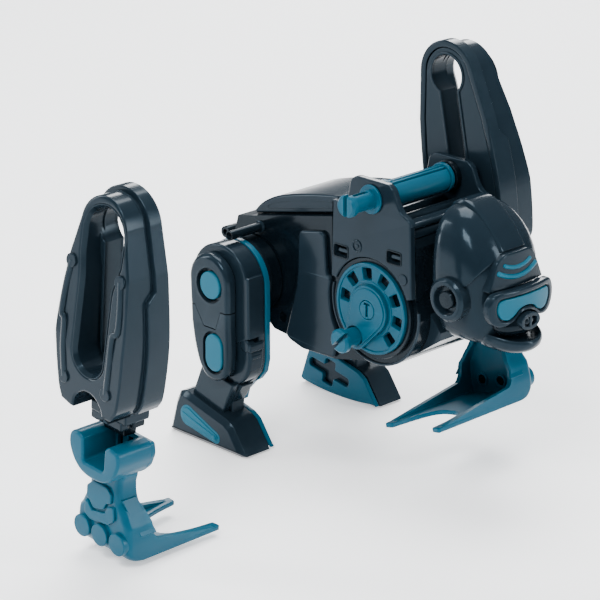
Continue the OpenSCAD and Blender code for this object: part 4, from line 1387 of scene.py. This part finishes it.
@dataclass
class SidePlate:
    """Plate that carries the shaft, with two latch windows and two round marks."""

    side: Side
    latches: Sequence[Point] = ((-18.5, AXLE_Z + 22.6), (13.9, AXLE_Z + 27.2))
    half: Point = (4.0, 2.6)

    def loop(self) -> Loop:
        """Returns the plate's outline, with the wheel's bay cut out of its foot."""
        corners = [(24.4, 43), (22.5, 45.9), (17.4, 48.2), (14.6, 53), (12.9, 57.5), (10.2, 59.6),
                   (-9.8, 59.6), (-12.8, 57.5), (-15.4, 46.0), (-24.8, 45.3)]
        upper = fillet([(x, AXLE_Z + z) for x, z in corners],
                       (1.2, 2.5, 2.5, 3, 1.5, 2.5, 2.5, 2.0, 1.0, 0.8))
        turn = math.degrees(math.acos(24.3 / 26.3))
        bay = arc(0, AXLE_Z, 23.4, 179 - turn, turn + 1, 40)
        return [(24.4, AXLE_Z + 10.2), *upper, (-24.8, AXLE_Z + 9.7), *bay]

    def build(self) -> None:
        """Makes the plate."""
        piece = side_piece("side_plate_face", self.side)
        (wide, high), windows = self.half, []
        for x, z in self.latches:
            windows.append(fillet(rect(x - wide, z - high, x + wide, z + high), 0.9, 4))
        piece.plate([self.loop(), *windows, ring(0, SHAFT_Z, 4.5, 32)], TRUNK_Y, PLATE_Y, 0.7,
                    steps=4)
        for (x, z), window in zip(self.latches, windows):
            piece.plate([inset(window, -0.75), window], PLATE_Y - 0.5, PLATE_Y + 0.3, 0.25,
                        Slot.BLACK)
            # black sheet at the bottom of each window: painted shade in the recess
            piece.plate([inset(window, -0.5)], TRUNK_Y + 0.1, TRUNK_Y + 0.6, 0.05, Slot.BLACK)
            bar = fillet(rect(x - 2.9, z - 1.0, x + 2.9, z + 0.9), 0.4)
            piece.plate([bar], TRUNK_Y + 0.3, PLATE_Y - 1.2, 0.4)
        piece.done("torso", f"side_plate_{self.side.word}")


# --------------------------------------------------------------- the hind legs
@dataclass
class HindLeg:
    """Hind leg in the frame of its side: a teal inner layer, a dark shell and a raised cover."""

    side: Side
    hip: Point = (-77.0, 79.0)
    layers: tuple[float, ...] = (34.0, 37.0, 48.0, 54.0)
    heel: float = -107.0
    cap: Point = (-76.1, 79.9)
    pill: Corner = (-73.8, 44.2, 51.2)
    cross: Point = (20.5, 10.8)
    cross_lean: float = math.radians(-11)
    lip: Sequence[Point] = ((9.6, 0.5), (9.4, 0), (8.9, -0.05), (8.4, 0.5), (8.3, 1.5), (8.3, 3.4),
                            (9.6, 3.4))

    @property
    def body(self) -> str:
        """CAD body the leg belongs to."""
        return f"leg_{self.side.word}"

    def build(self) -> None:
        """Makes the leg's layers from the trunk outwards."""
        self.inner()
        self.shell()
        self.covers()
        self.caps()

    def outline(self, grow: float = 0.0) -> Loop:
        """Returns the leg's outline from hip to ankle, smaller by grow."""
        x, z = self.hip
        front, back = x + 20.5 - grow, x - 18.3 + grow
        return [*arc(x + 1, z, 19.4 - grow, 180, 8, 26), (front, 74), (front, 44),
                (front - 1.4, 38 + grow), (front - 5, 33.5 + grow), (x + 12, 31.4), (x + 7, 26),
                (x + 5.4, 17), (x + 5, 13), (x - 19, 13), (x - 16, 22), (x - 11, 36), (back, 56)]

    def foot(self, rocker: bool) -> Loop:
        """Returns the foot's outline, with a bowed sole for the inner layer."""
        loop = [(1, 3 if rocker else 0.6), (5.5, 16.5), (8, 21.5), (12, 23.0), (17, 21.6),
                (40, 15.8), (44, 13.4), (50, 5.0), (52.8, 1.0)]
        if rocker:
            loop.extend((51 - 49 * t, 2 * (2 * t - 1) ** 2) for t in (i / 12 for i in range(13)))
        else:
            loop.extend([(49, 0), (3, 0)])
        return [(self.heel + x, z) for x, z in loop]

    def inner(self) -> None:
        """Makes the teal inner layer with its cross-shaped cut-out."""
        low, high, _, _ = self.layers
        piece = side_piece("leg_lining", self.side)
        half = [(3.4, -6.8), (3.4, -2.4), (13.6, -2.4), (13.6, 2.4), (3.4, 2.4), (3.4, 6.4)]
        (x, z), cos, sin = self.cross, math.cos(self.cross_lean), math.sin(self.cross_lean)
        corners = [(self.heel + x + a * cos - b * sin, z + a * sin + b * cos)
                   for a, b in mirrored(half)]
        cross = fillet(corners, (1.2, 1, 2.2, 2.2, 1, 1.2) * 2, 4)
        piece.plate([[(a, max(b, 21.0)) for a, b in self.outline()]], low, high, 0.5, Slot.TEAL)
        piece.plate([fillet(self.foot(True), 1.0), cross], low, high - 0.6, 0.5, Slot.TEAL)
        piece.plate([inset(self.foot(True), 0.6)], high - 0.7, high, 0.1, Slot.DARK)
        drum = [(TRUNK_Y + 0.4, 0.1), (TRUNK_Y + 0.4, 17.6), (TRUNK_Y + 1.0, 18.2), (30.6, 18.2),
                (31.0, 19.0), (32.8, 19.2), (33.4, 18.8), (33.6, 17.8), (low + 0.3, 17.6),
                (low + 0.3, 0.1)]
        piece.turned(drum, (self.hip[0], 0, self.hip[1]), slot=Slot.BLACK, steps=80)
        piece.done(self.body, f"leg_inner_{self.side.word}")

    def shell(self) -> None:
        """Makes the dark shell with its stepped front edge, knee latch and foot."""
        piece = side_piece("leg_main_shell", self.side)
        self.thigh(piece)
        self.latch(piece)
        self.shin(piece)
        piece.done(self.body, f"leg_shell_{self.side.word}")

    def thigh(self, piece: Piece) -> None:
        """Adds the shell's body from the hip to the knee."""
        _, low, high, _ = self.layers
        x, z = self.hip
        piece.plate([self.outline(0.5)], low, low + 4, 0.5)
        # the front edge steps forward below the hip, and the body ends above the knee latch
        waist = [*arc(x + 1.7, z + 1.0, 18.5, 180, 20, 26), (x + 20.2, 86), (x + 20.6, 82),
                 (x + 25.2, 73), (x + 25.6, 57), (x + 14, 54), (x - 10, 40), (x - 17, 56)]
        piece.plate([[(min(a, x + 20.4), b) for a, b in waist]], low + 1, high, 1.0, steps=4)
        # cheek under the latch, rounded back to the shin
        cheek = curved([(x + 17.5, 56), (x + 20.2, 52), (x + 20.3, 44), (x + 17.6, 37),
                        (x + 11.5, 32.4), (x + 4, 31)], 5)
        piece.plate([[*cheek, (x - 12, 33), (x - 15, 50)]], low + 1, high - 0.6, 1.6, steps=5)

    def latch(self, piece: Piece) -> None:
        """Adds the knee latch: a hooked tab on the front wall with a slot under it."""
        _, low, high, _ = self.layers
        x = self.hip[0]
        piece.box((x + 17, low + 1.5, 50.4), (x + 21.2, high - 0.4, 54.6), 0.7)
        piece.box((x + 17, low + 3.4, 46.6), (x + 20.9, high - 1.8, 48.8), 0.5)
        piece.rod(x + 17.4, 53.4, 3.2, high - 4.4, high - 0.1, 0.9, steps=40)

    def shin(self, piece: Piece) -> None:
        """Adds the shin block under the cover, and the foot with a broad chamfer round its face."""
        _, low, high, out = self.layers
        x = self.hip[0]
        block = [(x - 9.5, 37.5), (x + 11.6, 32.5), (x + 4.2, 17.0), (x + 3, 13), (x - 18.5, 13),
                 (x - 16.5, 21)]
        piece.plate([fillet(block, 0.8)], low + 0.5, high + 1.6, 0.7)
        facet = fillet([(x + 8, 35), (x + 13, 31.5), (x + 6.5, 22), (x + 6.2, 14), (x - 2, 14)],
                       0.7)
        piece.plate([facet], low + 0.4, high - 2.6, 0.7)
        foot = self.foot(False)
        piece.plate([foot], low, out - 2.2, 0.3)
        chamfer = ((0, 2.4), (0.35, 1.9), (2.3, 0.15), (2.6, 0.02), (3.0, 0))
        piece.grid([[(a, out - depth, b) for a, b in inset(foot, grow)] for grow, depth in chamfer])

    def cover_loop(self) -> Loop:
        """Returns the outline of the raised cover."""
        (x, z), half = self.hip, 13.0
        low = [(x + half, 62), (x + half + 0.2, 48), (x + 11.2, 38.6), (x + 5, 34), (x - 1, 34),
               (x - 6.4, 39), (x - 10, 48.5), (x - 12.2, 60)]
        return [*arc(x, z + 2.6, half, 180, 0, 26), *curved(low, 6)]

    def covers(self) -> None:
        """Makes the two halves of the raised cover, parted by a V-shaped seam."""
        _, _, low, high = self.layers
        x, z = self.hip
        seam = [(x - 20, 68.5), (x - 9, 68.6), (x - 3, 59.6), (x + 4.8, 59.6), (x + 8.2, 68.6),
                (x + 20, 68.6)]
        for node, up in (("thigh_cover", 1), ("shin_cover", -1)):
            piece = side_piece(f"{node}_shell", self.side)
            piece.plate([self.cover_loop()], low - 0.6, high, 2.3, steps=5)
            edge = [(a, b + 0.28 * up) for a, b in seam]
            far = z - up * 90
            beyond = [*edge, (x + 20, far), (x - 20, far)]
            piece.cut(Piece("other_half").plate([beyond], low - 5, high + 5, 0.01))
            loop, depth = (ring(*self.cap, 8.4), 3.0) if up > 0 else (self.pill_loop(7.0), 2.2)
            piece.cut(Piece("recess").plate([loop], high - depth, high + 5, 0.01))
            if up > 0:
                piece.grid([[(a, high - drop, b) for a, b in ring(*self.cap, r)]
                            for r, drop in self.lip], caps=False)
            piece.done(self.body, f"{node}_{self.side.word}")

    def pill_loop(self, radius: float) -> Loop:
        """Returns the outline of the shin's long cap."""
        x, low, high = self.pill
        return [*arc(x, high, radius, 0, 180, 20), *arc(x, low, radius, 180, 360, 20)]

    def caps(self) -> None:
        """Makes the hip cap, the shin's long cap and the foot's wedge inlay."""
        out = self.layers[3]
        piece = side_piece("leg_cap_inlays", self.side)
        piece.rod(*self.cap, 6.6, out - 3.0, out - 0.2, 0.7, Slot.TRIM)
        piece.plate([self.pill_loop(5.6)], out - 2.4, out + 0.1, 0.8, Slot.TRIM)
        wide, narrow = (self.heel + 15.2, 11.6), (self.heel + 34.0, 5.9)
        lean = math.degrees(math.atan2(narrow[1] - wide[1], narrow[0] - wide[0]))
        for grow, top in ((0.0, 0.2), (1.2, 0.6)):
            loop = [*arc(*wide, 5.2 - grow, lean + 70, lean + 290, 18),
                    *arc(*narrow, 3.0 - grow, lean - 90, lean + 90, 14)]
            piece.plate([loop], out - 1.5, out + top, 0.35, Slot.TRIM)
        ridge = [(wide[0] - 3.0, wide[1] + 1.4), (narrow[0] + 0.4, narrow[1] + 0.7),
                 (narrow[0], narrow[1] - 0.9)]
        piece.plate([[*ridge, (wide[0] - 1.5, wide[1] - 0.4)]], out, out + 0.95, 0.25, Slot.TRIM)
        piece.rod(narrow[0] - 0.1, narrow[1], 1.25, out, out + 1.2, 0.4, Slot.TRIM, steps=24)
        piece.done(self.body, f"leg_caps_{self.side.word}")


# -------------------------------------------------------------- the trunk's shell
@dataclass
class BackCover:
    """Domed battery cover that lies on the trunk's ledge."""

    half: float = 19.0
    rows: Sequence[Point] = ((-82.5, 107.0), (-79.4, 110.2), (-75.0, 113.4), (-68.6, 116.6),
                             (-60.6, 119.2), (-50.0, 121.8), (-38.0, 124.2), (-26.2, 126.0))

    def build(self) -> None:
        """Makes the cover."""
        piece = Piece("battery_cover_shell")
        crown = curved(self.rows, 3)
        piece.plate([[*crown, (-26.0, 118.2), (-81.4, 105.6)]], -self.half, self.half, 1.1, steps=5)
        # a thin raised line follows the edge of each side
        outer, inner = ([(x, z - drop) for x, z in crown if drop - 77 <= x <= -26 - drop]
                        for drop in (2.6, 3.3))
        line = [[*outer, (-28.7, 119.8), (-74.3, 109.4)], [*inner, (-29.5, 120.3), (-73.5, 110.1)]]
        for way in (1, -1):
            piece.plate(line, *span(way, self.half - 0.5, self.half + 0.25), 0.12)
        piece.done("cover", "back_cover")


@dataclass
class Flank:
    """Raised flank panel, drum rim and leg stop of one side of the trunk."""

    side: Side

    def build(self) -> None:
        """Makes the side's panels."""
        self.panel()
        self.rim()
        self.stop()

    def panel(self) -> None:
        """Makes the raised panel between the hip and the wheel."""
        piece = side_piece("flank_panel_face", self.side)
        corners = [(-47.6, 82.0), (-47.0, 103.5), (-46.2, 106.8), (-33.0, 109.4), (-30.6, 107.8),
                   (-29.4, 92.4), (-28.6, 90.2), (-26.6, 88.2), (-27.6, 81.0), (-26.2, 71.4),
                   (-21.4, 61.4), (-24.6, 51.0), (-44.5, 50.2), (-53.2, 52.6), (-55.4, 54.6)]
        loop = fillet(corners, (6, 0.5, 2.4, 2.4, 1.0, 1.5, 1.2, 1.6, 3, 3, 1.6, 1.2, 1.5, 2, 2))
        piece.plate([loop], TRUNK_Y - 0.3, TRUNK_Y + 2.2, 0.9, steps=4)
        piece.done("torso", f"flank_panel_{self.side.word}")

    def rim(self) -> None:
        """Makes the drum's rim round the wheel, with the bay between them painted black as shade.
        """
        piece = side_piece("drum_rim", self.side)
        # the bay is a black ring: painted shade in the gap between the wheel and the rim
        bay = ((WHEEL_R + 0.35, 23.6), (WHEEL_R + 0.35, 25.9), (23.0, 26.2), (23.3, 25.8),
               (23.3, 23.6))
        piece.grid([[(x, y, z) for x, z in ring(0, AXLE_Z, r, 96)] for r, y in bay], Slot.BLACK,
                   caps=False)
        section = ((25.7, 23.3), (25.7, 24.0), (26.0, 24.4), (26.6, 24.4), (26.95, 24.1),
                   (26.95, 23.3))
        piece.grid([[(r * x, y, AXLE_Z + r * z) for r, y in section]
                    for x, z in arc(0, 0, 1, -192, 8, 60)])
        piece.done("torso", f"drum_ring_{self.side.word}")

    def stop(self) -> None:
        """Makes the hollow stop bar over the hip."""
        piece = side_piece("hip_stop_bar", self.side)
        profile = [(20, 0.1), (20, 2.9), (24.2, 2.9), (24.6, 2.2), (42.6, 2.2), (43.2, 1.8),
                   (43.2, 1.3), (40, 1.2), (40, 0.1)]
        piece.turned(profile, (-74.0, 0, 101.8), (0, 1, 0), Slot.DARK, 32)
        piece.done("torso")


@dataclass
class Deck:
    """Dark deck between the side plates with the bars that run across it."""

    bars: Sequence[Point] = ((-12.0, 120.2), (-4.0, 120.2), (4.0, 120.2), (12.0, 120.2),
                             (19.0, 119.0))

    def build(self) -> None:
        """Makes the deck."""
        piece = Piece("top_deck")
        piece.box((-24.5, 0.3 - TRUNK_Y, 117.4), (21.5, TRUNK_Y - 0.3, 118.6), 0.4, Slot.BLACK)
        for x, z in self.bars:
            piece.rod(x, z, 2.6, 0.4 - TRUNK_Y, TRUNK_Y - 0.4, 0.3)
        piece.done("torso")


PARTS = [FrontArm(Side.RIGHT), FrontArm(Side.LEFT), Head(), HindLeg(Side.RIGHT), HindLeg(Side.LEFT),
         Crank(Side.RIGHT), Crank(Side.LEFT), Axle(), TopShaft(), SidePlate(Side.RIGHT),
         SidePlate(Side.LEFT), BackCover(), Deck(), Flank(Side.RIGHT), Flank(Side.LEFT)]


# -------------------------------------------------------------------- staging
@dataclass
class Studio:
    """Camera, floor and lights of the photograph."""

    camera_at: Sequence[float] = (764.2, -821.7, 482.5)
    azimuth: float = 45.5
    elevation: float = 19.8
    lens: float = 159.0
    floor_size: float = 12.0
    floor_glow: float = 0.55
    sky: Sequence[tuple[float, Colour]] = ((0.0, (0.80, 0.82, 0.85)), (0.5, (0.16, 0.19, 0.22)),
                                           (0.62, (0.30, 0.34, 0.38)), (0.95, (0.9, 0.95, 1.0)))
    boxes: Sequence[tuple[str, Corner, float, Point]] = (("key", (0.35, -1.1, 1.3), 30.0,
                                                          (0.7, 0.55)),
                                                         ("top", (-0.35, 0.35, 1.5), 30.0,
                                                          (0.9, 0.9)),
                                                         ("right", (1.3, 0.75, 0.55), 14.0,
                                                          (0.25, 1.0)),
                                                         ("left", (-1.2, -0.9, 0.6), 14.0,
                                                          (0.25, 1.1)),
                                                         ("back", (-0.9, 1.1, 0.8), 16.0,
                                                          (0.8, 0.5)))

    def build(self) -> bpy.types.Object:
        """Makes the camera, floor, lights and world.

        Returns:
            The camera.
        """
        self.floor()
        self.lights()
        self.world()
        data = bpy.data.cameras.new("camera")
        data.lens = self.lens
        data.sensor_fit = "AUTO"
        data.clip_end = 50
        camera = bpy.data.objects.new("camera", data)
        camera.location = Vector(self.camera_at) * MM
        camera.rotation_euler = (math.radians(90 - self.elevation), 0, math.radians(self.azimuth))
        bpy.context.scene.collection.objects.link(camera)
        bpy.context.scene.camera = camera
        bpy.context.view_layer.update()
        return camera

    def floor(self) -> None:
        """Lays a plain pale floor under the toy."""
        half = self.floor_size / 2
        mesh = bpy.data.meshes.new("floor")
        mesh.from_pydata([(-half, -half, 0), (half, -half, 0), (half, half, 0), (-half, half, 0)],
                         [], [(0, 1, 2, 3)])
        material = bpy.data.materials.new("pale_floor")
        material.use_nodes = True
        tree = material.node_tree
        place = add_node(tree, "ShaderNodeTexCoord", output="Object")
        cloud = noise(tree, place, 3.0, 2.0)
        tint = blend(tree, cloud, rgba((0.93, 0.935, 0.94)), rgba((0.96, 0.96, 0.965)))
        shader = tree.nodes["Principled BSDF"]
        tree.links.new(tint.out, shader.inputs["Base Color"])
        tree.links.new(tint.out, shader.inputs["Emission Color"])
        shader.inputs["Emission Strength"].default_value = self.floor_glow
        shader.inputs["Roughness"].default_value = 0.75
        shader.inputs["Specular IOR Level"].default_value = 0.1
        mesh.materials.append(material)
        item = bpy.data.objects.new("floor", mesh)
        bpy.context.scene.collection.objects.link(item)
        item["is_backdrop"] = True

    def lights(self) -> None:
        """Hangs soft boxes round the toy."""
        middle = Vector((-0.02, -0.03, 0.08))
        for name, at, power, size in self.boxes:
            data = bpy.data.lights.new(name, "AREA")
            data.shape = "RECTANGLE"
            data.energy = power
            data.size, data.size_y = size
            item = bpy.data.objects.new(name, data)
            item.location = at
            item.rotation_euler = (middle - Vector(at)).to_track_quat("-Z", "Y").to_euler()
            bpy.context.scene.collection.objects.link(item)

    def world(self) -> None:
        """Gives an even pale surrounding light."""
        world = bpy.data.worlds.new("world")
        world.use_nodes = True
        tree = world.node_tree
        place = add_node(tree, "ShaderNodeTexCoord", output="Generated")
        up = add_node(tree, "ShaderNodeSeparateXYZ", None, {"Vector": place}, "Z")
        stops = [(place, rgba(colour)) for place, colour in self.sky]
        sky = add_node(tree, "ShaderNodeValToRGB", {"stops": stops}, {"Fac": up * 0.5 + 0.5},
                       "Color")
        background = tree.nodes["Background"]
        tree.links.new(sky.out, background.inputs["Color"])
        background.inputs["Strength"].default_value = 0.9
        bpy.context.scene.world = world


@dataclass
class CadDress:
    """Gives every CAD node that stays in view rounded edges and its slot's finish; the screws get
    black instead, painted shade of the holes they sit in.
    """

    edge: float = 0.25
    corner: float = 30.0
    plain: tuple[str, ...] = ("axle_gear", "compound_gear", "motor_pinion")
    # screws painted black: painted shade of their holes
    shaded: tuple[str, ...] = ("body_screws",)

    def build(self) -> None:
        """Dresses all nodes."""
        for name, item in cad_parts.items():
            slot = Slot.BLACK if name in self.shaded else self.slot_of(item)
            item.data.materials.clear()
            item.data.materials.append(MATERIALS[slot])
            if name in self.plain:
                continue
            weld = item.modifiers.new("weld", "WELD")
            weld.merge_threshold = 0.00001
            bevel = item.modifiers.new("edges", "BEVEL")
            bevel.width = self.edge * MM
            bevel.segments = 2
            bevel.limit_method = "ANGLE"
            bevel.angle_limit = math.radians(self.corner)

    def slot_of(self, item: bpy.types.Object) -> Slot:
        """Returns the slot that a CAD node was packed with."""
        names = [m.name.split(".")[0] for m in item.data.materials if m]
        for slot in Slot:
            if slot.value in names:
                return slot
        LOG.warning("%s has no slot: %s", item.name, names)
        return Slot.DARK


@dataclass
class PointCaster:
    """Places small fittings under the photograph's named points and measures where things show."""

    camera: bpy.types.Object

    @property
    def away(self) -> float:
        """Image plane distance in pixels, below zero as the camera looks along -Z."""
        return -max(PHOTO_SIZE) * self.camera.data.lens / self.camera.data.sensor_width

    def ray(self, point: Point) -> Vector:
        """Returns the world direction of the ray through an image point."""
        width, height = PHOTO_SIZE
        data, longest = self.camera.data, max(PHOTO_SIZE)
        across = point[0] - width / 2 + data.shift_x * longest
        up = height / 2 - point[1] + data.shift_y * longest
        return (self.camera.matrix_world.to_3x3() @ Vector((across, up, self.away))).normalized()

    def shown_at(self, spot: Vector) -> Point:
        """Returns the image point where a place in the world shows."""
        width, height = PHOTO_SIZE
        data, longest = self.camera.data, max(PHOTO_SIZE)
        seen = self.camera.matrix_world.inverted() @ spot
        return (seen.x / seen.z * self.away + width / 2 - data.shift_x * longest,
                height / 2 - seen.y / seen.z * self.away + data.shift_y * longest)

    @staticmethod
    def surface(items: Sequence[bpy.types.Object]) -> tuple[BVHTree, dict[str, list[Vector]]]:
        """Returns a tree of the finished meshes and each one's vertices, in the world."""
        depsgraph = bpy.context.evaluated_depsgraph_get()
        spots: list[Vector] = []
        faces: list[tuple[int, ...]] = []
        own: dict[str, list[Vector]] = {}
        for item in items:
            shown = item.evaluated_get(depsgraph)
            mesh = shown.to_mesh()
            own[item.name] = [shown.matrix_world @ v.co for v in mesh.vertices]
            faces.extend(tuple(len(spots) + i for i in p.vertices) for p in mesh.polygons)
            spots.extend(own[item.name])
            shown.to_mesh_clear()
        return BVHTree.FromPolygons(spots, faces), own

    def cast(self, tree: BVHTree, point: Point) -> Vector:
        """Places an image point on the toy.

        Args:
            tree: Surface of what carries the fitting.
            point: Image point in the photograph's frame.

        Returns:
            The place where its ray first meets the surface, or the surface's nearest place to it.
        """
        start, along = self.camera.matrix_world.translation, self.ray(point)
        hit = tree.ray_cast(start, along)[0]
        if hit:
            return hit
        spot = start + along * start.length
        for _ in range(12):
            near = tree.find_nearest(spot)[0]
            spot = start + along * (near - start).dot(along)
        return near

    def visible(self, tree: BVHTree, spots: Sequence[Vector]) -> list[Point]:
        """Returns the image points of the places that nothing hides."""
        start, points = self.camera.matrix_world.translation, []
        for spot in spots:
            along = spot - start
            hit = tree.ray_cast(start, along.normalized())
            if hit[0] is None or hit[3] > along.length - HIDDEN_BY:
                points.append(self.shown_at(spot))
        return points

    def write(self) -> None:
        tree, own = self.surface(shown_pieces())
        everything = [self.shown_at(v) for spots in own.values() for v in spots]
        for name, (x, y) in IMAGE_POINTS.items():
            if name in EDGES:
                axis, pick = EDGES[name]
                edge = pick(everything, key=lambda p: p[axis])
                round(edge[0] - x, 1)
                round(edge[1] - y, 1)
                continue
            piece, low, high = SHOWN_BY[name]
            spots = [v for v in own[piece]
                     if all(a <= c / MM <= b for a, c, b in zip(low, v, high))]
            seen = self.visible(tree, spots)
            if not seen:
                LOG.warning("%s is hidden", name)
                continue
            middle = [(min(p[i] for p in seen) + max(p[i] for p in seen)) / 2 for i in (0, 1)]
            round(middle[0] - x, 1)
            round(middle[1] - y, 1)


@dataclass
class PlateMarks:
    """Moulded ring and disc on each side plate, placed under their image points."""

    caster: PointCaster

    def build(self) -> None:
        """Makes the marks on the near plate and mirrors them to the far one."""
        plates = [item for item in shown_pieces() if item.name == "side_plate_face_right"]
        tree = self.caster.surface(plates)[0]
        ring_at = self.caster.cast(tree, IMAGE_POINTS["plate_ring_mark"]) / MM
        disc_at = self.caster.cast(tree, IMAGE_POINTS["plate_disc_mark"]) / MM
        for side in Side:
            ring_mark, face = side_piece("plate_ring", side), abs(ring_at.y)
            circle = [(x, face, z) for x, z in ring(ring_at.x, ring_at.z, 2.5, 40)]
            ring_mark.bead(circle, 0.5, closed=True)
            ring_mark.rod(ring_at.x, ring_at.z, 1.1, face - 0.4, face + 0.3, 0.2, steps=24)
            ring_mark.done("torso")
            disc_mark, face = side_piece("plate_disc", side), abs(disc_at.y)
            disc_mark.rod(disc_at.x, disc_at.z, 2.5, face - 0.4, face + 0.6, 0.25, steps=32)
            disc_mark.done("torso")


def main() -> None:
    """Builds the whole scene."""
    logging.basicConfig(level=logging.INFO, format="%(message)s")
    camera = Studio().build()
    CadDress().build()
    for part in PARTS:
        part.build()
    caster = PointCaster(camera)
    PlateMarks(caster).build()
    caster.write()


if __name__ == "__main__":
    main()
